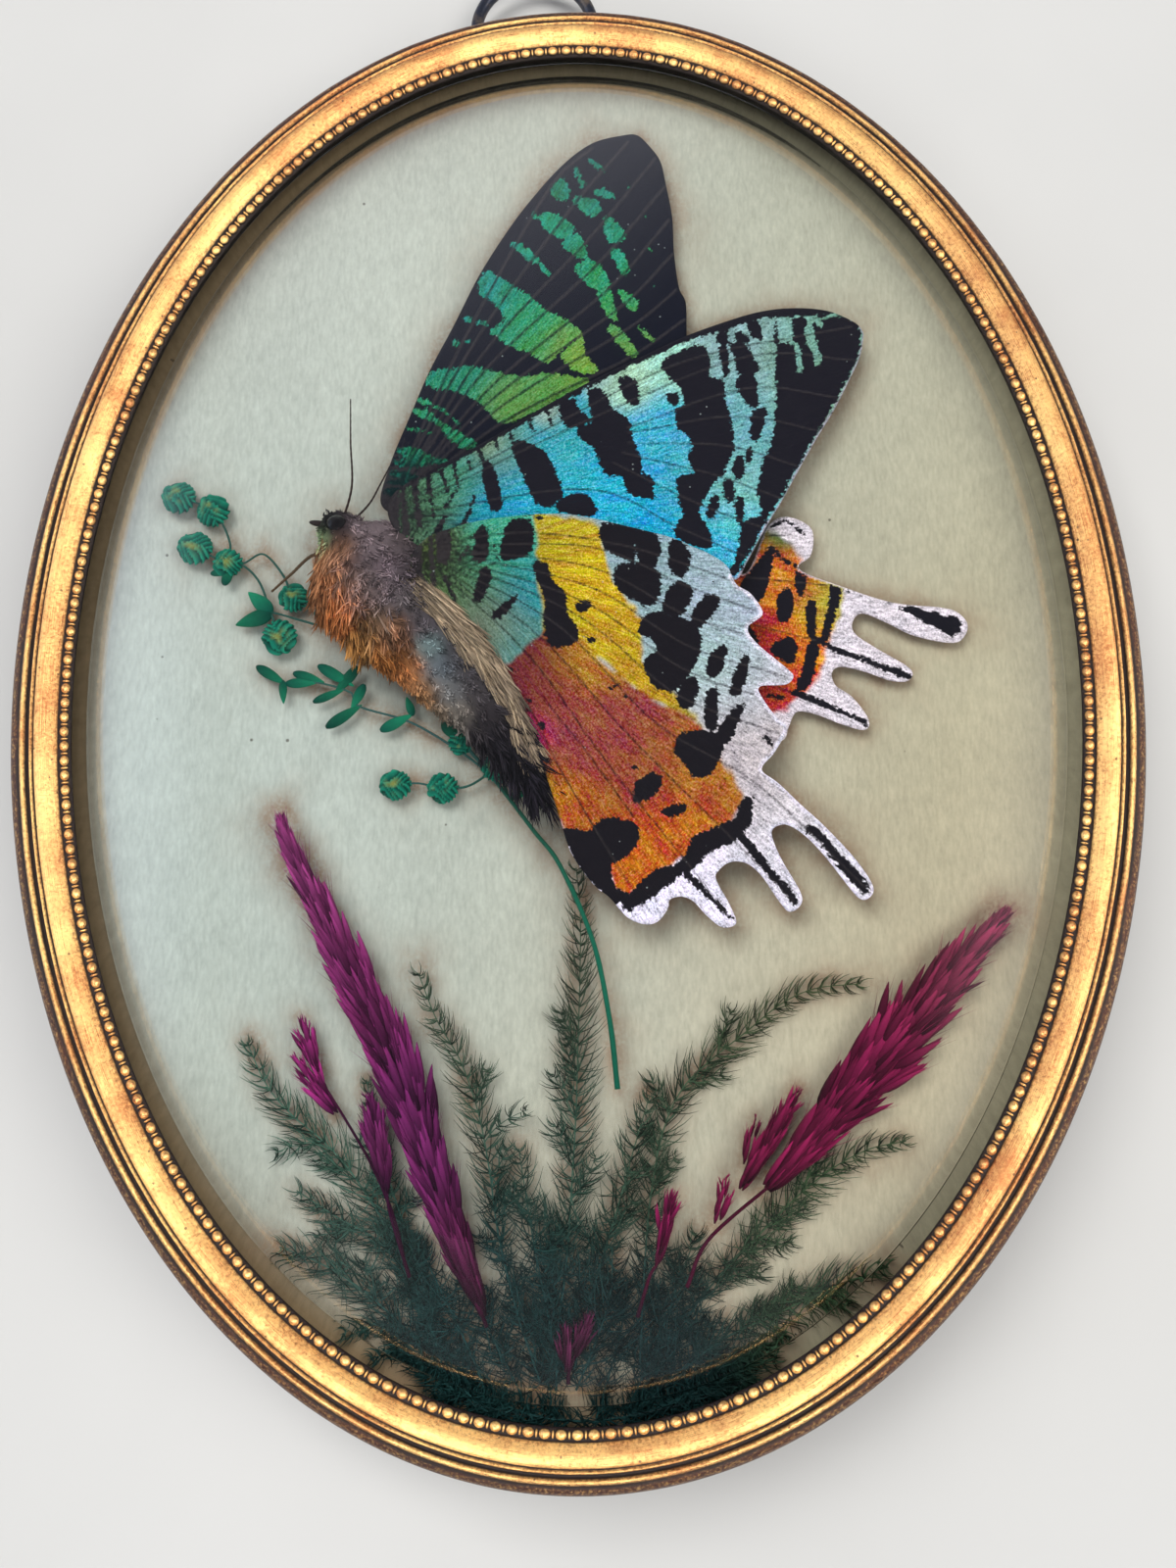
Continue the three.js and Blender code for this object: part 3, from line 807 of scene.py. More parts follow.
@dataclass(frozen=True)
class WornGilt(Finish):
    """Gilt on a pressed moulding: bright where it is rubbed, brown and sooty in grooves, with
    painted shade on the beads' feet and bed, the sight's lip, the rabbet and the outer skirt.

    Stored fields: tone (0 dark bronze to 1 gold, and low also where shade is painted) and a field
    for sooty deposits and painted shade (0 clean to 1 filled).
    """

    bronze: tuple = rgba(74, 44, 36)
    copper: tuple = rgba(190, 122, 76)
    gold: tuple = rgba(253, 208, 134)
    # Dark brown of sooty grooves, also used as painted shade.
    soot_and_shade: tuple = rgba(26, 16, 15)
    depth: float = 0.00005

    def paint(self, tree: NodeTree, surface: Node) -> Socket | None:
        """Streaks run along the moulding in uv; wear, sooty deposits and painted shade follow the
        stored fields.
        """
        place = tree.place()
        streak = tree.noise(tree.place((110.0, 14.0, 1.0), "UV"), 6.0, 5.0, 0.6)
        cloud = tree.noise(place, 160.0, 4.0)
        fine = tree.noise(place, 2200.0)
        speckle = tree.noise(place, 3600.0, 4.0, 0.7)
        worn = tree.total(streak, cloud, (speckle, 0.8))
        rich = tree.mix(tree.span(worn, 1.15, 1.6), self.copper, self.gold)
        tone = tree.total(tree.stored("tone"), tree.span(speckle, 0.35, 0.65, (-0.3, 0.25)))
        base = tree.mix(tree.span(tone, 0.1, 0.85), self.bronze, rich)
        # The stored darkening holds real soot in the grooves and painted shade on the skirt, lip
        # and beads.
        dirt_and_shade = tree.total(tree.stored("grime_and_shade"), (tree.total(cloud, -0.5), 0.7), (fine, 0.35))
        pits = tree.times(tree.specks(1400.0, 0.16, 0.12), 0.75)
        dirty_and_shaded = tree.math("MAXIMUM", tree.span(dirt_and_shade, 0.42, 0.9), pits)
        tree.feed(
            surface,
            Base_Color=tree.mix(dirty_and_shaded, base, self.soot_and_shade),
            Metallic=tree.span(dirty_and_shaded, 0.0, 1.0, (0.82, 0.1)),
            Roughness=tree.total(tree.span(streak, 0.3, 0.7, (0.24, 0.42)), (dirty_and_shaded, 0.35)),
        )
        self.relief(tree, surface, tree.total((streak, 0.6), fine, speckle), self.depth)
        return None


@dataclass(frozen=True)
class DullMetal(Finish):
    """Plain metal with scuffs and dark spots."""

    base: tuple
    scuff: tuple
    metallic: float
    roughness: float
    depth: float = 0.00003

    def paint(self, tree: NodeTree, surface: Node) -> Socket | None:
        """Noise mixes base and scuff, and varies the gloss."""
        place = tree.place()
        cloud = tree.noise(place, 420.0, 5.0)
        fine = tree.noise(place, 3000.0)
        scuffed = tree.span(tree.total(cloud, (fine, 0.4)), 0.66, 0.95)
        gloss = (self.roughness - 0.1, self.roughness + 0.18)
        tree.feed(
            surface,
            Base_Color=tree.mix(scuffed, self.base, self.scuff),
            Metallic=self.metallic,
            Roughness=tree.span(cloud, 0.3, 0.7, gloss),
        )
        self.relief(tree, surface, tree.total(cloud, fine), self.depth)
        return None


@dataclass(frozen=True)
class ClearGlass(Finish):
    """Clear window glass that lets light straight through to cast no hard shadow."""

    tint: tuple = (0.985, 0.995, 0.99, 1.0)
    shadow: tuple = (0.96, 0.975, 0.97, 1.0)
    ior: float = 1.45

    def paint(self, tree: NodeTree, surface: Node) -> Socket | None:
        """Transmission for the eye, plain see-through for shadow rays."""
        tree.feed(surface, Base_Color=self.tint, Roughness=0.0, IOR=self.ior)
        tree.feed(surface, Transmission_Weight=1.0)
        shadow_ray = tree.add("LightPath").outputs["Is Shadow Ray"]
        return tree.either(shadow_ray, surface.outputs[0], self.shadow)


@dataclass(frozen=True)
class AgedPaper(Finish):
    """Aged cream paper: long fibres, foxing specks and stains.

    Stored fields: ground (colour, with painted shade at the rim) and stain (0 clean to 1, round
    the specimens).
    """

    stain: tuple = rgba(146, 118, 96)
    foxing: tuple = rgba(70, 60, 52)
    depth: float = 0.00004

    def paint(self, tree: NodeTree, surface: Node) -> Socket | None:
        """The ground colour is stored; fibres, foxing and specks lie over it."""
        fibre = tree.noise(tree.place((1.0, 1.0, 0.3)), 3000.0, 4.0, 0.6)
        weave = tree.noise(tree.place((1.0, 1.0, 0.5)), 1100.0, 3.0, 0.6)
        cloud = tree.noise(tree.place(), 90.0, 5.0)
        grain = tree.effect("grain", Place=tree.place(), Scale=700.0, Amount=0.16)
        light = tree.total(
            grain.outputs["Value"],
            tree.span(fibre, 0.3, 0.7, (-0.11, 0.11)),
            tree.span(weave, 0.3, 0.7, (-0.04, 0.04)),
            tree.span(cloud, 0.3, 0.7, (-0.05, 0.05)),
        )
        paper = tree.lit(tree.stored("ground", "Color"), light)
        patchy = tree.span(grain.outputs["Height"], 0.7, 1.15, (0.45, 1.25))
        paper = tree.mix(tree.times(tree.stored("stain"), patchy), paper, self.stain)
        paper = tree.mix(tree.times(tree.specks(330.0, 0.055, 0.16), 0.7), paper, self.foxing)
        tree.feed(surface, Base_Color=paper, Roughness=0.92, Specular_IOR_Level=0.2)
        self.relief(tree, surface, tree.total(fibre, (weave, 0.5)), self.depth)
        return None


@dataclass(frozen=True)
class BrownBoard(Finish):
    """Grey-brown pulp board with long fibres and handling marks."""

    dark: tuple = rgba(104, 80, 56)
    pale: tuple = rgba(158, 128, 94)
    fleck: tuple = rgba(66, 48, 34)
    depth: float = 0.00008

    def paint(self, tree: NodeTree, surface: Node) -> Socket | None:
        """Fibres, clouds and a few dark flecks mixed over a brown."""
        fibre = tree.noise(tree.place((0.14, 1.0, 1.0)), 1300.0, 5.0, 0.65)
        cloud = tree.noise(tree.place(), 70.0, 5.0)
        share = tree.span(tree.total((fibre, 0.6), (cloud, 0.5)), 0.38, 0.72)
        flecks = tree.times(tree.specks(700.0, 0.12, 0.25), 0.5)
        base = tree.mix(flecks, tree.mix(share, self.dark, self.pale), self.fleck)
        tree.feed(surface, Base_Color=base, Roughness=0.9)
        self.relief(tree, surface, tree.total(fibre, cloud), self.depth)
        return None


@dataclass(frozen=True)
class WingScales(Finish):
    """Moth wing: a stored ground colour of shining scales with black marks over it.

    Stored fields: ground (colour), mark (signed distance to black), vein (distance).
    """

    ink: tuple
    ragged: float = 9.0
    sheen: float = 0.2
    worn_ink: tuple = rgba(60, 52, 58)
    bare_vein: tuple = rgba(88, 80, 80)
    dust: tuple = rgba(190, 200, 200)
    depth: float = 0.00006

    def paint(self, tree: NodeTree, surface: Node) -> Socket | None:
        """Streaks, broad clouds and rows of scales vary the ground's light and hue; marks,
        veins and dust lie over it."""
        place = tree.place()
        streak = tree.noise(tree.place((300.0, 26.0, 1.0), "UV"), 3.0, 5.0, 0.7)
        broad = tree.noise(tree.place((40.0, 7.0, 1.0), "UV"), 4.0, 4.0, 0.6)
        rows = tree.noise(tree.place((90.0, 300.0, 1.0), "UV"), 4.0, 3.0, 0.7)
        scales = tree.noise(place, 5200.0, 3.0, 0.75)
        light = tree.total(
            tree.span(streak, 0.34, 0.66, (0.8, 2.2)),
            tree.span(scales, 0.3, 0.7, (-0.8, 0.8)),
            tree.span(broad, 0.3, 0.7, (-0.22, 0.3)),
            tree.span(rows, 0.35, 0.65, (-0.16, 0.16)),
        )
        swing = tree.total(
            tree.span(broad, 0.35, 0.65, (-0.03, 0.024)),
            tree.span(rows, 0.35, 0.65, (-0.045, 0.04)),
            0.5,
        )
        hue = tree.add("HueSaturation")
        full = tree.span(scales, 0.3, 0.7, (1.35, 0.8))
        ground = tree.lit(tree.stored("ground", "Color"), light)
        tree.feed(hue, Hue=swing, Saturation=full, Color=ground)
        vein = tree.effect(
            "edge", Place=place, Distance=tree.stored("vein"), Ragged=1.6, Soft=0.8
        ).outputs[0]
        ground = tree.mix(tree.times(vein, 0.88), hue.outputs[0], self.ink)
        frayed = tree.total(tree.stored("mark"), tree.span(streak, 0.3, 0.7, (-1.7, 1.7)))
        mark = tree.effect(
            "edge", Place=place, Distance=frayed, Ragged=self.ragged, Soft=0.5, Scale=3000.0
        ).outputs[0]
        dark = tree.mix(tree.span(scales, 0.55, 0.8, (0.0, 0.3)), self.ink, self.worn_ink)
        dark = tree.mix(tree.times(vein, 0.3), dark, self.bare_vein)
        dusty = tree.times(tree.specks(1700.0, 0.13, 0.05), 0.5)
        tree.feed(
            surface,
            Base_Color=tree.mix(dusty, tree.mix(mark, ground, dark), self.dust),
            Metallic=tree.span(mark, 0.0, 1.0, (self.sheen, 0.0)),
            Roughness=tree.span(scales, 0.3, 0.7, (0.4, 0.66)),
            Specular_IOR_Level=0.3,
        )
        self.relief(tree, surface, tree.total((scales, 0.5), streak, (vein, 1.2)), self.depth)
        return None


@dataclass(frozen=True)
class StoredTint(Finish):
    """Fur, husks and leaves: a stored colour varied a little from hair to hair.

    Stored fields: tint (colour) and shade (0 to 1, one value a hair or leaf).
    """

    roughness: float = 0.7
    vary: float = 0.35
    grain_scale: float = 2400.0
    depth: float = 0.00003

    def paint(self, tree: NodeTree, surface: Node) -> Socket | None:
        """Shade and fine grain brighten or darken the stored colour."""
        grain = tree.effect("grain", Place=tree.place(), Scale=self.grain_scale, Amount=0.35)
        own = tree.span(tree.stored("shade"), 0.0, 1.0, (1 - self.vary, 1 + self.vary))
        light = tree.times(grain.outputs["Value"], own)
        base = tree.lit(tree.stored("tint", "Color"), light)
        tree.feed(surface, Base_Color=base, Roughness=self.roughness, Specular_IOR_Level=0.3)
        self.relief(tree, surface, grain.outputs["Height"], self.depth)
        return None


@dataclass(frozen=True)
class EyeGloss(Finish):
    """The black, glossy, faceted eye."""

    facet_size: float = 9000.0
    depth: float = 0.00002

    def paint(self, tree: NodeTree, surface: Node) -> Socket | None:
        """Tiny facets in a black gloss."""
        facet = tree.add("TexVoronoi", feature="F1")
        tree.feed(facet, Vector=tree.place(), Scale=self.facet_size)
        depth = facet.outputs["Distance"]
        base = tree.mix(tree.span(depth, 0.0, 0.6), rgba(34, 28, 30), rgba(14, 12, 14))
        tree.feed(surface, Base_Color=base, Roughness=0.22)
        self.relief(tree, surface, depth, self.depth)
        return None


@dataclass(frozen=True)
class StudioWall(Finish):
    """Pale plaster that is only there from the front, so the back can be seen."""

    base: tuple = rgba(190, 190, 188)
    pale: tuple = rgba(198, 198, 196)

    def paint(self, tree: NodeTree, surface: Node) -> Socket | None:
        """A matt surface; its back side is see-through."""
        cloud = tree.span(tree.noise(tree.place(), 12.0, 4.0), 0.3, 0.7)
        tree.feed(surface, Base_Color=tree.mix(cloud, self.base, self.pale), Roughness=0.95)
        behind = tree.add("NewGeometry").outputs["Backfacing"]
        return tree.either(behind, surface.outputs[0], (1.0, 1.0, 1.0, 1.0))


# ---------------------------------------------------------------------------- the case


class Turning(Enum):
    """How many steps a turned piece takes round the oval."""

    FINE = 720
    MIDDLE = 360

    def angles(self) -> Array:
        """The steps' angles in radians."""
        return np.arange(self.value) * TAU / self.value


@dataclass
class GiltMoulding:
    """The pressed moulding with its row of beads."""

    crest_y: float = -8.8
    seam_deg: float = 0.84
    bead_count: int = 258
    bead_offset: float = 0.47
    bead_bed: float = 0.93
    bead_half: tuple[float, float, float] = (0.5, 0.44, 0.46)
    spacer_half: tuple[float, float, float] = (0.11, 0.4, 0.38)
    rabbet_back: tuple = ((0.45, 1.5), (0.5, 2.4), (1.3, 2.4), (1.3, 8.8))
    profile_steps: int = 88
    face_depth: float = 1.4
    face_wobble: float = 0.02

    # Millimetres outside the sight, millimetres behind the crest, sooty deposits with painted
    # shade, tone of the gilt.
    # The outer skirt, the sight's lip and the bead bed are set dark in both last columns: painted
    # shade.
    face: str = """
    5.55,8.8,0.8,0.0 5.9,7.0,0.6,0.1 5.97,5.0,0.5,0.15 6.0,3.2,0.5,0.15 5.95,2.3,0.45,0.1
    5.75,1.6,0.5,0.05 5.4,1.05,0.3,0.2 4.95,0.75,0.45,0.15 4.62,0.7,0.8,0.1 4.4,0.45,0.2,0.6
    4.18,0.27,0.0,1.0 4.0,0.4,0.2,0.7 3.88,0.68,0.9,0.3 3.7,0.78,1.0,0.2 3.55,0.5,0.6,0.4
    3.36,0.17,0.0,0.9 3.2,0.3,0.4,0.6 3.08,0.42,0.9,0.3 2.98,0.2,0.3,0.7 2.82,0.03,0.0,1.0
    2.5,0.02,0.0,1.0 2.0,0.12,0.0,1.0 1.5,0.42,0.05,0.95 1.15,0.7,0.3,0.7 1.02,0.93,1.0,0.3
    0.8,0.95,1.0,0.2 0.4,0.95,1.0,0.2 0.1,1.0,1.0,0.2 0.0,1.15,0.8,0.1 0.0,1.3,1.0,0.0
    """

    def band_surface(self) -> Surface:
        """The section carried round the oval as one closed band."""
        face = smooth_path(read_points(self.face), self.profile_steps)
        # The rabbet and the back take full darkening and no gold: painted shade in the recess
        # behind the lip.
        back = np.array([[offset, behind, 1.0, 0.0] for offset, behind in self.rabbet_back])
        section = np.vstack([face, back])
        turns = Turning.FINE.angles() - TAU / 4 + math.radians(self.seam_deg)
        points = OVAL.sweep(section[:, 0], self.crest_y + section[:, 1], turns)
        wobble = soft_noise(np.stack([turns * 40, np.zeros_like(turns)], -1), 1.0, 5)
        on_face = section[:, 1] < self.face_depth
        points[..., 1] += self.face_wobble * wobble[:, None] * on_face
        band = grid(points, wrap_rows=True, wrap_columns=True)
        for key, column in (("grime_and_shade", 2), ("tone", 3)):
            band.with_field(key, np.tile(section[:, column], len(turns)))
        return band.outward()

    def bead_surface(self) -> Surface:
        """Balls with a thin spacer between each two, evenly spaced along the sight."""
        turns = OVAL.even_turns(self.bead_offset, self.bead_count * 2)
        offsets = self.bead_offset + np.array([0.0, 0.1])
        both = OVAL.sweep(offsets, np.full(2, self.crest_y + self.bead_bed), turns)
        here, outer = both[:, 0], both[:, 1]
        way = unit(np.roll(here, -1, 0) - np.roll(here, 1, 0))
        across = unit(outer - here)
        across = unit(across - way * np.sum(across * way, 1, keepdims=True))
        up = np.broadcast_to([0.0, -1.0, 0.0], way.shape)
        axes = np.stack([way, across, up], -1)
        parts = []
        for start, half, rows, sides in ((0, self.bead_half, 7, 10), (1, self.spacer_half, 5, 6)):
            ball = closed_tube(unit_ball(rows, sides) * np.array(half))
            # Painted shade: each bead darkens towards its foot on the bed.
            ball.with_field("grime_and_shade", 0.85 - 1.15 * ball.points[:, 2] / half[2])
            ball.with_field("tone", 0.95)
            parts.append(scattered(ball, here[start::2], axes[start::2]))
        return Surface.joined(parts)

    def build(self) -> list[Piece]:
        """Makes and dresses the moulding and its beads."""
        gilt = WornGilt("worn_gilt").make()
        band = self.band_surface()
        return [
            band.to_piece("gilt_moulding", gilt, "gilt", replaces=("frame_moulding",)),
            self.bead_surface().to_piece("bead_row", gilt, "gilt"),
        ]


@dataclass
class DomeGlass:
    """The convex glass, one even shell with a flat rim."""

    rim_front_y: float = -6.1
    thickness: float = 1.6
    rim_width: float = 1.0
    dome_inset: float = 0.8
    rise: float = 10.5
    steepness: float = 0.6
    rings: int = 60

    def build(self) -> None:
        """Turns the shell: height over the rim is rise * (1 - share squared) ^ steepness."""
        share = np.sin(np.linspace(0.012, 1, self.rings) * TAU / 4)
        offset = (OVAL.half_width - self.dome_inset) * share - OVAL.half_width
        front = self.rim_front_y - self.rise * np.maximum(1 - share**2, 0) ** self.steepness
        offset = np.append(offset, self.rim_width)
        front = np.append(front, self.rim_front_y)
        turns = Turning.MIDDLE.angles()
        outer = OVAL.sweep(offset, front, turns)
        inner = OVAL.sweep(offset, front + self.thickness, turns)
        rings = np.concatenate([outer, inner[:, ::-1]], axis=1).transpose(1, 0, 2)
        shell = closed_tube(rings)
        glass = ClearGlass("clear_glass").make()
        shell.to_piece("domed_glass", glass, "clear_glass", replaces=("dome_glass",))


@dataclass
class BackingCard:
    """The paper-faced card, with stains where the specimens have lain for years."""

    front_y: float = -3.4
    thickness: float = 0.8
    rim_width: float = 1.0
    rings: int = 110
    stain_reach: float = 13.0
    darkest: float = 0.8

    def ground_colours(self, places: Array, edge: Array) -> Array:
        """Cream on the left and middle, beige to the right, and painted shade of the moulding's
        lip at the rim, brown on the left and grey on the right.

        Args:
            places: sheet points of the card's face.
            edge: millimetres from the sight's edge inwards.

        Returns:
            Linear colours.
        """
        # The right-hand tints are a little brighter than the paper: painted light against the
        # lamps' fall-off to the right.
        tints = """340,420,330,186,191,184 300,900,300,184,195,190 700,250,260,186,189,176
            960,420,240,186,178,152 1000,800,260,184,172,142 960,1150,240,198,182,152
            600,1250,260,186,184,168"""
        colour = blended(places, tints)
        # Painted shade of the moulding's lip on the card, fading inwards from the rim.
        left = ease(900 - places[:, 0], 0, 600)[:, None]
        shade = linear(132, 106, 72) * left + linear(150, 142, 118) * (1 - left)
        inside = np.maximum(edge, 0)
        share = (0.6 * np.exp(-((inside / 1.5) ** 2)) + 0.3 * np.exp(-inside / 2.6))[:, None]
        return colour * (1 - share) + shade * share

    def build(self, outlines: list[Array], lines: list[WideLine]) -> None:
        """Makes the card as a closed disc whose face holds the stains.

        Args:
            outlines: the wings' outlines on the sheet.
            lines: the body's and stalks' lines on the sheet, each with its half width.
        """
        share = np.linspace(0.004, 1, self.rings)
        offset = np.append(OVAL.half_width * share - OVAL.half_width, self.rim_width)
        turns = Turning.MIDDLE.angles()
        face = OVAL.sweep(offset, np.full(len(offset), self.front_y), turns).transpose(1, 0, 2)
        back = face[-1:] + [0.0, self.thickness, 0.0]
        centre = face[:1] + [0.0, self.thickness, 0.0]
        card = closed_tube(np.concatenate([face, back, centre]))
        places = SHEET.seen_at(card.points)
        near = np.full(len(places), np.inf)
        for outline in outlines:
            near = np.minimum(near, patch_distance(places, outline))
        for line, half in lines:
            near = np.minimum(near, line_distance(places, line) - half)
        wander = 1 + 0.45 * soft_noise(places, 46.0, 3) + 0.25 * soft_noise(places, 15.0, 4)
        stain = self.darkest * np.exp(-np.maximum(near, 0) / (self.stain_reach * wander))
        stain *= 0.75 + 0.35 * soft_noise(places, 30.0, 8)
        x, _, z = card.points.T
        radius = np.hypot(x / OVAL.half_width, z / OVAL.half_height)
        edge = (1 - radius) * (OVAL.half_width + OVAL.half_height) / 2
        card.with_field("stain", np.clip(stain, 0, self.darkest))
        card.with_field("ground", self.ground_colours(places, edge))
        paper = AgedPaper("aged_paper").make()
        card.to_piece("paper_card", paper, "card_paper", replaces=("backing_card",))


@dataclass
class HangingFittings:
    """The folded strap with its rivet, and the wire ring that swings in it."""

    x: float = -3.8
    hinge_y: float = 1.95
    hinge_z: float = 69.3
    wire_radius: float = 0.65
    ring_radius: float = 6.4
    strap_width: float = 3.0
    strap_thickness: float = 0.5
    plate_y: float = 0.575
    plate_bottom_z: float = 59.45
    eye_radius: float = 1.4
    end_rounding: float = 1.3
    bevel: float = 0.1
    rivet_radius: float = 0.95
    rivet_height: float = 0.42

    def strap_surface(self) -> Surface:
        """A flat strip carried up the plate and round the eye, rounded at its lower end."""
        rise = np.linspace(self.plate_bottom_z, self.hinge_z - 0.5, 40)
        plate = np.stack([np.full(40, self.plate_y), rise], -1)
        angle = np.radians(np.linspace(176, -150, 60))[:, None]
        loop = self.eye_radius * np.hstack([np.cos(angle), np.sin(angle)])
        loop += [self.hinge_y, self.hinge_z]
        path = smooth_path(np.vstack([plate[::3], loop[::2]]), 120)
        way = unit(np.gradient(path, axis=0))
        normal = np.stack([-way[:, 1], way[:, 0]], -1)
        climbed = np.cumsum(np.linalg.norm(np.diff(path, axis=0, prepend=path[:1]), axis=1))
        left = np.maximum(1 - climbed / self.end_rounding, 0)
        half = self.strap_width / 2 * np.sqrt(np.maximum(1 - left**2, 0.02))
        edge = 1 - self.bevel
        flat = 1 - 2 * self.bevel
        corner = np.array([[-1, -flat], [-edge, -1], [edge, -1], [1, -flat]])
        section = np.vstack([corner, -corner])
        out = self.strap_thickness / 2 * section[:, 1]
        y, z = (path[:, k, None] + normal[:, k, None] * out for k in (0, 1))
        return closed_tube(np.stack([self.x + half[:, None] * section[:, 0], y, z], -1))

    def rivet_surface(self) -> Surface:
        """A domed head: radius * sin and height * cos of a quarter turn."""
        lean = np.linspace(0.03, TAU / 4, 10)[:, None]
        angle = np.arange(28)[None] * TAU / 28
        across = self.rivet_radius * np.sin(lean)
        x = self.x + across * np.cos(angle)
        z = self.plate_bottom_z + self.strap_width / 2 + across * np.sin(angle)
        base = self.plate_y + self.strap_thickness / 2
        y = base + self.rivet_height * np.cos(lean) * np.ones_like(angle)
        rings = np.stack([x, y, z], -1)
        foot = rings[-1:] - [0.0, 0.1, 0.0]
        return closed_tube(np.concatenate([rings, foot]))

    def ring_surface(self) -> Surface:
        """A round wire carried round a circle in the XZ plane."""
        turn = np.arange(144)[:, None] * TAU / 144
        angle = np.arange(20)[None] * TAU / 20
        radius = self.ring_radius + self.wire_radius * np.cos(angle)
        y = self.hinge_y + self.wire_radius * np.sin(angle) * np.ones_like(turn)
        x = self.x + radius * np.cos(turn)
        z = self.hinge_z + self.ring_radius + radius * np.sin(turn)
        return grid(np.stack([x, y, z], -1), wrap_rows=True, wrap_columns=True).outward()

    def build(self) -> list[Piece]:
        """Makes and dresses the strap and the ring."""
        brass = DullMetal("dull_brass", rgba(150, 124, 78), rgba(88, 70, 46), 0.9, 0.42).make()
        black = DullMetal("black_wire", rgba(38, 42, 54), rgba(96, 84, 72), 0.6, 0.34).make()
        strap = Surface.joined([self.strap_surface(), self.rivet_surface()])
        ring = self.ring_surface()
        return [
            strap.to_piece("folded_strap", brass, "strap_metal", replaces=("ring_strap",)),
            ring.to_piece("wire_ring", black, "ring_wire", "ring", ("hanging_ring",)),
        ]


def spread(places: Array, spots: Array) -> Array:
    """How much each spot counts at each place, adding up to 1 a place.

    A spot's weight falls as exp(-distance squared / (2 * reach squared)).

    Args:
        places: sheet points in two columns.
        spots: sheet points and reaches in three columns.

    Returns:
        One row a place and one column a spot.
    """
    away = np.stack([np.sum((places - spot[:2]) ** 2, axis=1) for spot in spots], -1)
    weight = np.exp(-away / (2 * spots[:, 2] ** 2)) + 1e-7 / (1 + away)
    return weight / weight.sum(axis=1, keepdims=True)


def blended(places: Array, tints: str) -> Array:
    """Linear colours blended between tints, each 'u,v,reach,red,green,blue'."""
    rows = read_points(tints)
    return spread(places, rows[:, :3]) @ np.array([linear(*row[3:]) for row in rows])


# --------------------------------------------------------------------------- the stage


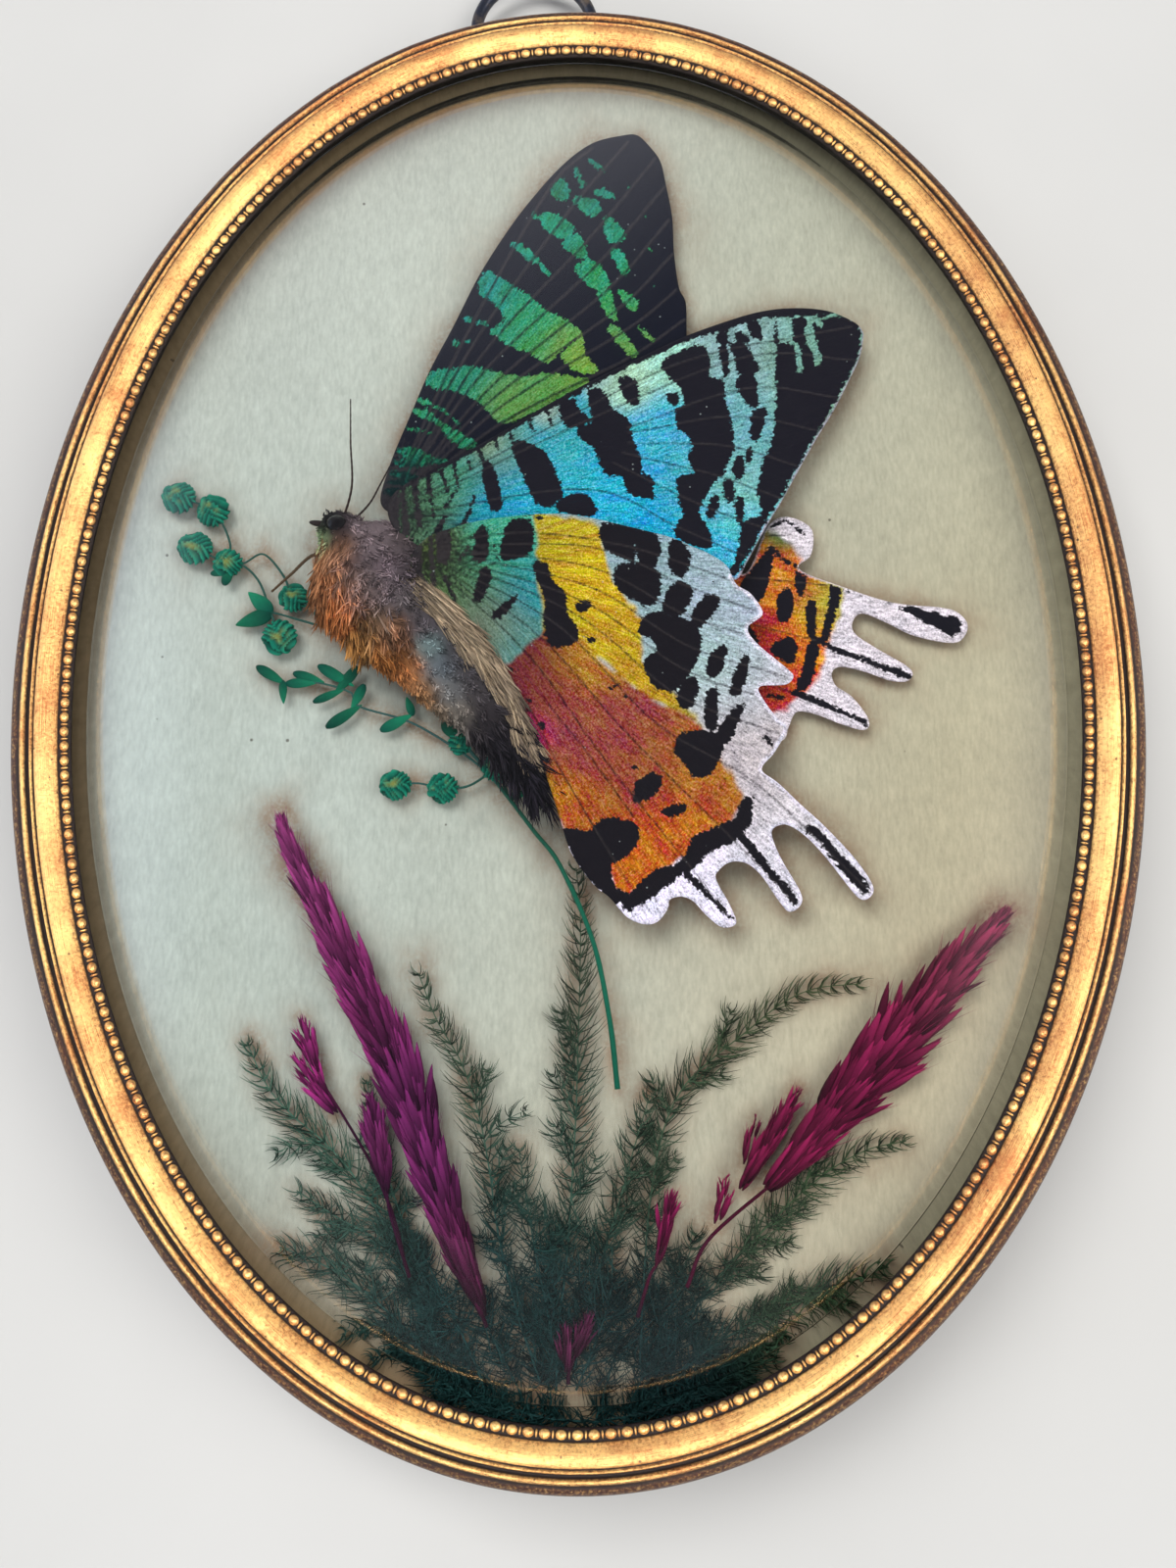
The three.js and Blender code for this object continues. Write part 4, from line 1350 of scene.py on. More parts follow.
@dataclass
class Studio:
    """A pale wall and floor, soft lights and the camera."""

    # Each lamp's name, place, width and height in millimetres, watts and linear colour.
    soft_lamps: tuple = (
        ("key", (-270, -720, 330), (560, 460), 5.9, (1.0, 0.985, 0.97)),
        ("fill", (460, -560, -60), (420, 520), 3.3, (1.0, 0.97, 0.93)),
        ("low", (-60, -520, -480), (460, 260), 1.8, (0.98, 0.98, 1.0)),
        ("back", (-260, 620, 240), (520, 520), 6.0, (1.0, 1.0, 1.0)),
    )
    metal_lamps: tuple = (
        ("metal_left", (-560, -420, 160), (200, 620), 1.4, (0.9, 0.95, 1.0)),
        ("metal_right", (520, -480, -60), (160, 560), 3.0, (1.0, 0.96, 0.9)),
        ("metal_front", (60, -700, 120), (420, 160), 1.3, (1.0, 0.9, 0.78)),
        ("metal_low", (-20, -480, -270), (460, 90), 2.6, (1.0, 0.95, 0.86)),
    )
    # Where a lamp points when that isn't the middle of the frame.
    aims: dict = field(default_factory=lambda: {"low": (0, 0, -20)})
    wall_y: float = 4.2
    floor_z: float = -1300.0
    stage_half: float = 1400.0
    wall_top_z: float = 1200.0
    floor_front_y: float = -1600.0
    dim_sky: tuple = (0.07, 0.075, 0.085, 1.0)
    focal: float = 27.0
    sensor: float = 36.0
    # Way to each glow of the sky, cosines where it starts and is full, and its colour.
    glows: tuple = (
        ((-1.0, -0.2, 0.15), 0.82, 0.99, (0.7, 0.85, 1.1)),
        ((1.0, -0.2, -0.1), 0.8, 0.99, (0.45, 0.45, 0.47)),
        ((-0.3, -0.25, 1.0), 0.75, 0.99, (0.5, 0.5, 0.55)),
        ((0.0, 1.0, 0.1), -0.1, 0.7, (0.5, 0.5, 0.52)),
    )

    def build_stage(self) -> None:
        """A wall just behind the frame and a floor far below it."""
        finish = StudioWall("studio_plaster").make()
        ends = (-self.stage_half, self.stage_half)
        heights, fronts = (self.floor_z, self.wall_top_z), (self.floor_front_y, self.wall_y)
        wall = [[[x, self.wall_y, z] for x in ends] for z in heights]
        floor = [[[x, y, self.floor_z] for x in ends] for y in fronts]
        for name, sheet in (("studio_wall", wall), ("studio_floor", floor)):
            surface = grid(np.array(sheet))
            mesh = bpy.data.meshes.new(name)
            mesh.from_pydata((surface.points * MM).tolist(), [], surface.faces[0].tolist())
            mesh.materials.append(finish)
            stage = bpy.data.objects.new(name, mesh)
            bpy.context.scene.collection.objects.link(stage)
            # The floor leaves no image in the glass, and the wall lets the back lamp through.
            stage.visible_glossy = name == "studio_wall"
            stage.visible_shadow = not stage.visible_glossy

    def add_lamp(
        self, name: str, place: tuple, size: tuple, power: float, tint: tuple, mirrored: bool
    ) -> Piece:
        """One rectangular area lamp that points at the middle of the frame.

        Args:
            name: the lamp's name.
            place: where it is, in millimetres.
            size: its width and height in millimetres.
            power: watts.
            tint: linear colour.
            mirrored: whether glossy surfaces and glass show it.

        Returns:
            The lamp.
        """
        data = bpy.data.lights.new(name, "AREA")
        data.shape = "RECTANGLE"
        data.size, data.size_y = size[0] * MM, size[1] * MM
        data.energy = power
        data.color = tint
        lamp = bpy.data.objects.new(name, data)
        bpy.context.scene.collection.objects.link(lamp)
        lamp.location = Vector(place) * MM
        way = Vector(self.aims.get(name, (0, 0, 0))) - Vector(place)
        lamp.rotation_euler = way.to_track_quat("-Z", "Y").to_euler()
        lamp.visible_glossy = lamp.visible_transmission = mirrored
        return lamp

    def build_lights(self, metals: bpy.types.Collection) -> None:
        """A soft key from the upper left, a weaker fill and low light, a lamp for the back,
        and a dim sky with glows.

        The soft lamps leave no mirror image in the glass. The metal has lamps of its own,
        so that its gloss shows.

        Args:
            metals: the pieces that the metal's lamps shine on.
        """
        for lamp in self.soft_lamps:
            self.add_lamp(*lamp, mirrored=False)
        for lamp in self.metal_lamps:
            made = self.add_lamp(*lamp, mirrored=True)
            made.light_linking.receiver_collection = metals
        world = bpy.data.worlds.new("soft_room")
        world.use_nodes = True
        tree = NodeTree(world.node_tree)
        sky = tree.add("TexCoord").outputs["Generated"]
        colour: object = self.dim_sky
        for way, low, high, glow in self.glows:
            dot = tree.add("VectorMath", operation="DOT_PRODUCT")
            tree.join(sky, dot.inputs[0])
            tree.join(Vector(way).normalized(), dot.inputs[1])
            share = tree.add("MapRange", interpolation_type="SMOOTHSTEP")
            tree.feed(share, Value=dot.outputs["Value"], From_Min=low, From_Max=high)
            colour = tree.mix(share.outputs[0], colour, (*glow, 1.0), "ADD")
        tree.feed(world.node_tree.nodes["Background"], Color=colour)
        bpy.context.scene.world = world

    def build_camera(self) -> None:
        """The camera stands at the layout sheet's eye, looking through the sheet."""
        right, forward, up = SHEET.axes().T
        data = bpy.data.cameras.new("front_camera")
        data.sensor_fit = "VERTICAL"
        data.sensor_height = self.sensor
        data.lens = self.focal
        data.clip_start = 0.005
        camera = bpy.data.objects.new("front_camera", data)
        bpy.context.scene.collection.objects.link(camera)
        turn = Matrix((right, up, -forward)).transposed().to_4x4()
        camera.matrix_world = Matrix.Translation(Vector(SHEET.eye) * MM) @ turn
        bpy.context.scene.camera = camera
        bpy.context.scene.view_settings.view_transform = "Standard"


# ---------------------------------------------------------------------------- the moth


@dataclass
class MothWing:
    """One wing: a thin closed plate with raised veins and its colours on its points."""

    node: str
    slot: str
    root: tuple[float, float]
    depth: DepthPlane
    finish: WingScales
    outline: str
    tints: str
    marks: str
    veins: str
    zones: tuple = ()
    bare_edge: str = ""
    fringe_width: float = 0.0
    fringe_tint: tuple = (205, 198, 212)
    islands: bool = False
    swell: float = 0.7
    step: float = 2.4
    thickness: float = 0.13
    vein_height: float = 0.05
    vein_half: float = 0.85
    root_shade: float = 0.5
    fan_step: float = 0.085
    bare_reach: float = 9.0
    shade_span: tuple[float, float] = (20.0, 165.0)
    ripple: tuple[float, float] = (0.035, 0.03)
    rim_half: float = 0.02
    far_off: float = 60.0

    def edge_line(self) -> Array:
        """The wing's outline as a smooth closed line, counter-clockwise on the sheet."""
        corners = read_points(self.outline)
        line = smooth_path(corners, int(line_length(corners) / self.step), closed=True)
        after = np.roll(line, -1, 0)
        area = np.sum(line[:, 0] * after[:, 1] - after[:, 0] * line[:, 1])
        return line if area > 0 else line[::-1]

    def flat_net(self) -> tuple[Array, Array, int]:
        """The outline filled with an even net of triangles.

        Returns:
            Sheet points with the outline's first, triangles, and the outline's length.
        """
        edge = self.edge_line()
        low, high = edge.min(0), edge.max(0)
        rows = np.arange(low[1], high[1], self.step * math.sqrt(0.75))
        columns = np.arange(low[0], high[0], self.step)
        u, v = np.meshgrid(columns, rows)
        u = u + (np.arange(len(rows)) % 2)[:, None] * self.step / 2
        inner = np.stack([u.ravel(), v.ravel()], -1)
        inner = inner[patch_distance(inner, edge) < -self.step * 0.6]
        places = np.vstack([edge, inner])
        loop = [list(range(len(edge)))]
        made = geometry.delaunay_2d_cdt(places.tolist(), [], loop, 1, 1e-6)
        source = np.array([group[0] for group in made[3]])
        return places, source[np.array(made[2])], len(edge)

    def mark_distance(self, places: Array) -> Array:
        """Signed distance to the nearest mark; rows of three numbers are lines with widths."""
        nearest = np.full(len(places), self.far_off)
        for mark in read_patches(self.marks):
            if mark.shape[1] == 3:
                gap = line_distance(places, mark[:, :2], mark[:, 2])
            else:
                patch = smooth_path(mark, len(mark) * 5, closed=True)
                gap = patch_distance(places, patch) - self.swell
            nearest = np.minimum(nearest, gap)
        return -nearest if self.islands else nearest

    def ground_colour(self, places: Array) -> Array:
        """Blended tints, with each zone's own tints laid over them inside its outline."""
        colour = blended(places, self.tints)
        for outline, soft, tints in self.zones:
            wander = soft_noise(places, 9.0, 6) * soft
            share = ease(patch_distance(places, read_points(outline)) + wander, soft, -soft)
            colour += (blended(places, tints) - colour) * share[:, None]
        return colour

    def surface(self) -> Surface:
        """Both faces and the side wall.

        Each face stands half the thickness off the wing's depth, which ripples a little
        with the angle round the root and rises over each vein as exp(-(distance/1.6)^2).
        Between the drawn veins a fan of fine ones, one each fan_step of angle, runs out of
        the root. The ground darkens to root_shade at the root, and a pale fringe follows
        the rim where it isn't bare.
        """
        places, triangles, rim_count = self.flat_net()
        vein = np.full(len(places), self.far_off)
        for line in read_patches(self.veins):
            vein = np.minimum(vein, line_distance(places, smooth_path(line, 24)))
        mark = self.mark_distance(places)
        colour = self.ground_colour(places)
        rim = -patch_distance(places, places[:rim_count])
        if self.fringe_width:
            bare = line_distance(places, read_points(self.bare_edge)) < self.bare_reach
            width = self.fringe_width * (1 + 0.3 * soft_noise(places, 5.0, 2))
            share = ease(rim, width, width * 0.55) * ~bare
            colour += (linear(*self.fringe_tint) - colour) * share[:, None]
            mark = np.where(bare, mark, np.maximum(mark, (width - rim) * 0.8))
            vein = vein + share * 8
        away = places - np.array(self.root)
        angle = np.arctan2(away[:, 1], away[:, 0])
        reach = np.linalg.norm(away, axis=1)
        ray = soft_noise(np.stack([angle * 60, reach / 45], -1), 1.0, 21)
        near = ease(reach + 26 * ray, *self.shade_span)
        colour *= (self.root_shade + (1 - self.root_shade) * near)[:, None]
        mark = mark + 0.9 * ray * (rim > 4)
        turn = angle / self.fan_step + 0.35 * soft_noise(places, 30.0, 22)
        fan = reach * self.fan_step * np.abs(turn % 1 - 0.5)
        vein = np.minimum(vein, fan + 5 * near + 0.8 * ray)
        fold, cockle = self.ripple
        ripple = fold * np.sin(angle * 31) + cockle * soft_noise(places, 26.0, 9)
        ripple -= self.vein_height * np.exp(-((vein / 1.6) ** 2))
        half = self.thickness / 2 * ease(rim, -0.5, 2.5) + self.rim_half
        middle = self.depth.at(places) + ripple * ease(rim, 0.0, 6.0)
        front = SHEET.land(places, middle - half)
        back = SHEET.land(places, middle + half)
        count = len(places)
        here = np.arange(rim_count)
        after = (here + 1) % rim_count
        wall = np.stack([after, here, here + count, after + count], -1)
        faces = [triangles, triangles[:, ::-1] + count, wall]
        flow = np.stack([np.tile(angle / TAU + 0.5, 2), np.tile(reach / 1000, 2)], -1)
        shell = Surface(np.vstack([front, back]), faces, [flow[block] for block in faces])
        shell.with_field("ground", np.tile(colour, (2, 1)))
        shell.with_field("mark", np.tile(mark, 2))
        shell.with_field("vein", np.tile(vein - self.vein_half, 2))
        return shell.outward()

    def build(self) -> Array:
        """Makes and dresses the wing, and gives back its outline on the sheet."""
        scales = self.finish.make()
        self.surface().to_piece(self.node + "_scaled", scales, self.slot, replaces=(self.node,))
        return self.edge_line()[::4]


FAR_FOREWING = MothWing(
    node="far_forewing",
    slot="far_forewing_scales",
    root=(400, 512),
    depth=DepthPlane((405, 515), -6.4, (640, 150), -4.9),
    finish=WingScales("far_forewing_scales", rgba(15, 17, 30), ragged=9.0),
    outline="""392,520 398,482 423,421 441,380 464,337 490,286 518,242 543,209 574,175 604,153
    635,145 650,145 663,157 673,171 678,191 685,227 687,263 692,298 699,314 700,350 704,385
    640,440 560,480 480,512 430,530""",
    tints="""505,290,40,25,113,112 560,330,40,47,129,78 592,362,20,131,140,42
        470,395,40,34,109,94 560,402,36,82,126,61 640,290,50,41,133,98 440,435,26,61,145,98
        405,495,26,36,121,107 600,200,60,22,94,78 650,350,30,92,125,52 515,412,16,99,133,57
        545,232,20,13,140,109""",
    marks="""
502,283 528,299 543,309 559,322 574,329 594,344 584,351 570,362 559,373 543,365 523,357 \
508,347 502,342 515,332 513,322 500,309 490,304 492,288
594,350 597,367 610,380 597,385 582,378 574,367 584,357
437,395 441,385 464,380 482,378 513,385 543,388 559,385 597,390 599,394 569,411 525,432 \
513,434 502,426 487,411 467,403 446,399
423,421 439,424 454,436 482,452 486,459 469,457 444,434 426,425
407,462 426,461 441,470 459,473 439,476 411,467
399,485 418,485 428,490 411,491
394,503 413,500 426,503 405,510
404,474 426,472 440,477 414,479
396,494 420,493 436,497 408,498
430,412,2 452,421,1.2 470,436,0.8
478,329,2.5 480,330,2.5
490,334,2 497,335,2
465,353,2.5 467,354,2
478,353,2 480,353,2
546,225,2.5 547,226,2.5
416,440,0.7 441,445,0.4
551,227 564,223 585,237 576,249 559,240
574,253 589,244 599,265 592,268 579,260
588,278 604,270 621,293 607,299 592,286
611,304 622,301 629,327 624,329 617,319
621,339 630,339 649,362 645,367 632,355
562,199 576,189 581,204 571,210
588,179,2 594,194,2.5
603,170,2 615,179,2.5
606,202 617,199 629,208 612,205
585,208 604,209 613,218 604,225 592,217
640,195,1.6 641,196,1.6
615,230 624,228 638,245 622,253
624,262 635,262 641,281 635,283
631,300 652,314 643,320
522,253 533,255 551,270 546,273 528,260
551,273 561,283 556,283
652,339 668,350 663,351
656,225,1 658,226,1
662,260,1 664,261,1
667,297,1 668,298,1
""",
    veins="""
400,512 470,360 560,200 604,158
402,512 480,362 580,222 640,152
404,512 490,370 600,250 668,168
405,512 492,386 608,276 678,196
406,514 500,400 620,300 682,230
407,514 504,410 630,320 686,264
408,516 510,420 640,340 690,300
408,516 514,434 640,370 698,330
408,518 520,450 640,400 700,360
408,518 500,466 600,424 640,404
""",
    islands=True,
    vein_half=1.3,
)

FAR_HINDWING = MothWing(
    node="far_hindwing",
    slot="far_hindwing_scales",
    root=(450, 560),
    depth=DepthPlane((450, 560), -5.6, (960, 640), -4.4),
    finish=WingScales("far_hindwing_scales", rgba(20, 18, 26), ragged=7.0),
    outline="""440,560 520,530 620,520 720,540 757,588 781,541 801,530 826,542 826,568 814,583
    858,601 909,617 957,622 975,628 984,641 976,656 958,657 928,650 903,638 878,628 868,636
    870,648 890,662 926,684 924,696 906,696 880,687 856,682 847,688 851,701 868,713 884,735
    880,746 856,740 830,730 811,728 803,744 796,757 760,762 690,700 560,630 470,600""",
    tints="""800,640,300,196,186,196 600,560,80,120,130,60""",
    zones=(
        ("740,540 781,541 806,556 822,584 846,594 858,601 856,624 846,655 831,698 802,724"
         " 770,735 700,640",
         3.0, """800,598,22,174,103,50 782,672,30,148,35,27 838,625,18,155,150,66
             806,712,16,188,70,44 822,660,18,202,127,49 801,548,10,52,91,52"""),
    ),
    marks="""
754,601 785,562 787,576 774,615
794,607 805,604 808,618 802,635 792,632
811,584 820,584 818,610 811,607
822,618 830,618 829,652 822,646
847,598 857,597 851,624 841,655 837,652 843,624
825,657 833,657 827,694 811,708 816,688
785,666 797,655 809,655 808,677 799,677
783,711,1.6 797,714,1.6
763,641,2 771,657,2
858,601,3.4 886,607,2.6 914,618,3 942,632,6 968,641,10
830,655,3 870,672,2.8 926,692,4
808,708,3 845,722,3 882,739,3
785,540,1.8 801,533,1.2 818,547,1.8
785,562,3 800,575,2.4 822,584,2
""",
    veins="""
450,560 640,560 800,548
450,562 650,580 850,600
450,566 650,610 830,655
450,570 640,630 805,708
""",
    bare_edge="440,560 470,600 560,630 690,700",
    fringe_width=1.6,
    fringe_tint=(190, 180, 188),
)

NEAR_FOREWING = MothWing(
    node="near_forewing",
    slot="near_forewing_scales",
    root=(400, 530),
    depth=DepthPlane((405, 525), -8.6, (860, 345), -5.9),
    finish=WingScales("near_forewing_scales", rgba(21, 19, 28)),
    outline="""405,505 456,475 490,457 528,435 569,411 614,387 660,365 699,347 744,331 777,322
    809,319 842,322 868,333 877,342 878,350 874,370 864,392 850,420 833,448 818,474 805,498
    794,518 781,539 762,574 751,593 738,590 690,580 610,570 520,562 430,560 400,535""",
    tints="""430,515,22,98,130,98 455,505,20,82,147,121 515,470,20,88,121,106
        520,540,30,41,145,184 560,500,30,59,148,171 585,460,22,69,139,152 620,510,32,51,151,184
        640,400,14,150,182,158 665,455,26,73,151,180 690,500,26,59,138,166 640,555,28,17,142,196
        710,565,24,32,136,183 690,380,14,140,182,166 760,365,26,120,148,150
        755,430,26,99,147,159 735,500,26,111,160,158 745,550,22,84,166,182
        812,365,22,103,141,130 812,405,20,110,146,130 500,456,9,121,135,106
        560,424,9,132,147,136 620,394,9,128,155,150""",
    marks="""
493,477 502,476 510,498 513,520 500,520
523,457 538,454 559,469 569,490 574,508 559,520 546,513 533,485 525,467
601,403 614,401 623,418 640,431 645,450 652,468 653,485 632,487 617,485 607,463 593,450 \
589,440 603,433 602,415
571,420 584,411 593,424 603,431 599,435 580,439
632,388 645,390 651,403 650,416 640,414 632,396
637,489 662,487 666,505 669,513 658,511 642,505
571,524 573,511 599,508 607,528
677,372 712,357 722,372 723,388 736,392 738,407 742,420 746,440 748,459 740,479 733,489 \
710,486 703,470 705,453 692,440 688,420 697,416 695,403 690,394 684,392 680,385
680,405 690,405 691,416 682,415
694,489 731,487 720,507 712,526 720,539 724,563 690,550 692,535 697,528 691,507
731,344 740,342 741,355 732,353
733,357 740,357 742,385 737,385
744,355 759,355 768,370 770,385 753,385 749,370
749,342 757,344 764,353 751,353
762,333 772,333 777,351 764,346
751,390 768,388 772,418 764,418 752,403
767,422 781,422 777,437 772,453 765,450 765,437
761,461 766,459 765,474 759,476
749,470 757,470 756,492 748,489
738,494 746,494 748,513 740,513
726,509 732,511 729,528 720,528
750,511 758,513 757,535 750,533
400,500,8 456,472,7 528,432,7 614,384,7 699,344,8 777,320,9 842,318,9
790,331 788,353 792,355 807,357 811,383 818,381 814,357 807,352 808,348 807,329 820,329 \
818,351 826,366 828,377 833,379 836,370 829,346 828,333 836,340 842,330 880,330 884,350 \
872,392 848,430 815,490 790,535 762,590 740,590 748,575 755,550 757,536 775,526 772,507 \
775,485 779,470 785,459 788,442 789,424 791,420 790,385 792,355
398,500,10 400,545,10
412,497,3 416,545,4
424,490,3.4 430,540,3
437,484,3 444,528,2
450,478,2.6 458,505,1.6
463,470,2.6 468,498,1.6
476,464,2.4 482,484,1.2
488,458,2.6 495,478,1.6
505,448,2.2 509,462,1.4
520,440,2.2 524,455,1.4
540,432,2.2 545,444,1.4
558,421,2.4 563,436,1.4
455,520,2.4 470,500,1.4
470,548,3 486,510,1.6
440,560,4 455,530,2.4
""",
    veins="""
430,510 560,440 700,372 866,338
430,514 600,432 760,368 870,372
640,440 760,400 856,410
640,445 750,428 838,444
640,455 740,458 816,480
635,465 730,488 797,512
625,475 710,516 779,542
430,525 600,502 690,540 763,572
430,535 600,545 748,586
""",
    bare_edge="""610,570 520,562 430,560 400,535 400,505 456,475 528,435 614,387 699,347 777,322
    842,322 866,333""",
    fringe_width=2.2,
    fringe_tint=(150, 142, 156),
)

NEAR_HINDWING = MothWing(
    node="near_hindwing",
    slot="near_hindwing_scales",
    root=(440, 570),
    depth=DepthPlane((440, 580), -9.2, (780, 850), -6.6),
    finish=WingScales("near_hindwing_scales", rgba(20, 17, 23)),
    outline="""420,575 436,552 460,542 494,533 527,529 553,527 579,527 609,532 630,537 663,545
    688,552 706,560 724,568 741,580 750,598 765,608 777,628 762,642 771,658 802,684 808,692
    800,700 774,702 777,714 791,733 801,742 798,753 788,770 776,786 793,800 816,822 839,843
    870,876 888,903 886,915 875,917 860,900 843,878 825,858 808,845 796,842 786,850 795,875
    815,910 815,924 803,930 791,916 775,893 760,881 744,880 732,889 730,898 744,924 750,942
    736,946 720,934 707,920 695,915 683,918 681,927 671,940 658,943 640,936 622,916 607,904
    589,881 579,861 571,834 556,787 543,748 528,712 515,684 480,640 440,605""",
    tints="""690,580,40,132,152,161 740,620,30,152,161,176 720,680,24,132,166,160
        745,700,30,164,170,182 760,780,50,164,151,153 800,880,80,191,186,195
        700,930,60,223,214,235""",
    zones=(
        ("400,575 460,535 543,524 556,560 558,648 522,684 470,650", 3.0,
         """500,556,30,84,172,146 541,600,20,52,132,149 456,590,24,98,121,73
             500,630,22,107,121,105 535,655,16,81,125,122 450,556,14,139,155,82"""),
        ("545,524 613,538 616,560 627,597 655,633 656,676 686,707 722,748 706,736 655,711"
         " 589,655 556,648",
         3.0, """585,550,26,163,148,52 600,590,34,188,154,38 625,650,30,167,136,41
             660,700,26,166,136,43 705,735,16,145,134,51 572,636,16,150,142,40"""),
        ("511,684 556,646 589,653 655,709 706,734 722,750 745,790 758,818 738,844 711,855"
         " 701,873 673,889 642,913 626,906 622,884 598,882 566,834 538,748",
         3.0, """556,684,24,99,42,41 600,676,20,168,127,52 608,738,34,128,64,57
             548,750,10,150,36,84 570,818,16,170,111,48 650,775,28,133,75,52
             722,790,26,151,97,48 646,882,22,167,87,32 690,850,22,165,87,38
             600,830,20,143,76,38"""),
    ),
    marks="""
448,536 459,541 461,572 448,574
425,560,6 430,600,5
440,545,2 444,600,2.6
455,590,2 470,628,2
470,575,2 478,560,1.2
505,560,1 509,575,0.8
478,640,1.6 500,655,1
488,541 498,544 497,572 484,572
520,536 540,533 545,549 540,567 515,574 512,561
527,523,2 553,531,2
544,577 558,577 563,592 576,607 579,628 589,643 586,658 563,661 556,643 556,612 548,592
492,582 502,587 494,612 484,615
525,610 528,615 510,633 503,629
589,618 602,615 599,625 589,626
599,653 608,653 604,658
619,536 670,549 668,582 652,578 650,574 647,556 648,574 645,574 624,567 613,551
630,579 650,577 670,584 673,602 665,620 642,612 627,597
655,633 670,626 693,633 711,640 714,663 706,684 686,707 665,699 656,676 670,666 665,653 653,648
683,600 701,597 705,610 691,633 676,625
719,610 732,612 729,625 714,640 704,633
682,556 693,554 704,569 696,592 683,582
724,669 741,661 734,686 721,692
755,674 764,674 755,707 744,707
696,697 711,694 709,714 698,725 691,714
721,709 732,707 729,745 719,740
755,720 758,725 742,758 730,753 742,730
691,753 713,745 736,755 736,769 728,783 720,793 707,793 699,781 689,769
622,704,1.5 630,699,1
637,712,1 638,713,1
540,716,2.5 541,717,2.5
553,740,4 554,742,3
514,681,1 527,686,1
646,784,2.5 650,785,1.5
725,595,1 727,596,1
646,818 648,802 662,790 674,793 671,808 652,819
673,830 683,823 698,821 697,829 683,834
575,847 589,847 599,849 615,837 642,838 653,849 648,863 638,875 623,883 628,904 642,911 \
654,900 671,887 691,881 699,871 709,853 736,842 750,834 756,818 767,814 764,840 756,851 \
744,861 724,869 713,881 695,893 671,910 654,922 642,930 638,931 622,918 607,904 589,881 \
579,861
701,893,4 746,938,3
754,853,5 813,924,4
826,847,6 885,911,6
777,752,2 788,762,3
""",
    veins="""
450,556 540,546 640,560 740,592
450,560 600,560 700,600 770,625
450,563 600,580 700,630 780,655
450,565 600,600 700,660 800,692
450,568 596,616 696,684 788,716
450,570 590,630 690,710 795,750
450,575 570,640 670,740 770,800 880,905
450,580 550,650 640,750 740,850 808,920
450,585 540,670 620,780 700,880 742,935
560,720 600,770 646,834
540,720 580,800 640,900
""",
    bare_edge="440,605 420,575 436,552 494,533 553,527 609,532 663,545 706,560 741,580 741,580"
    " 609,532 494,533 420,575 440,605 480,640 515,684 543,748 571,834 589,881 607,904 622,916",
    fringe_width=4.2,
    fringe_tint=(206, 199, 215),
)


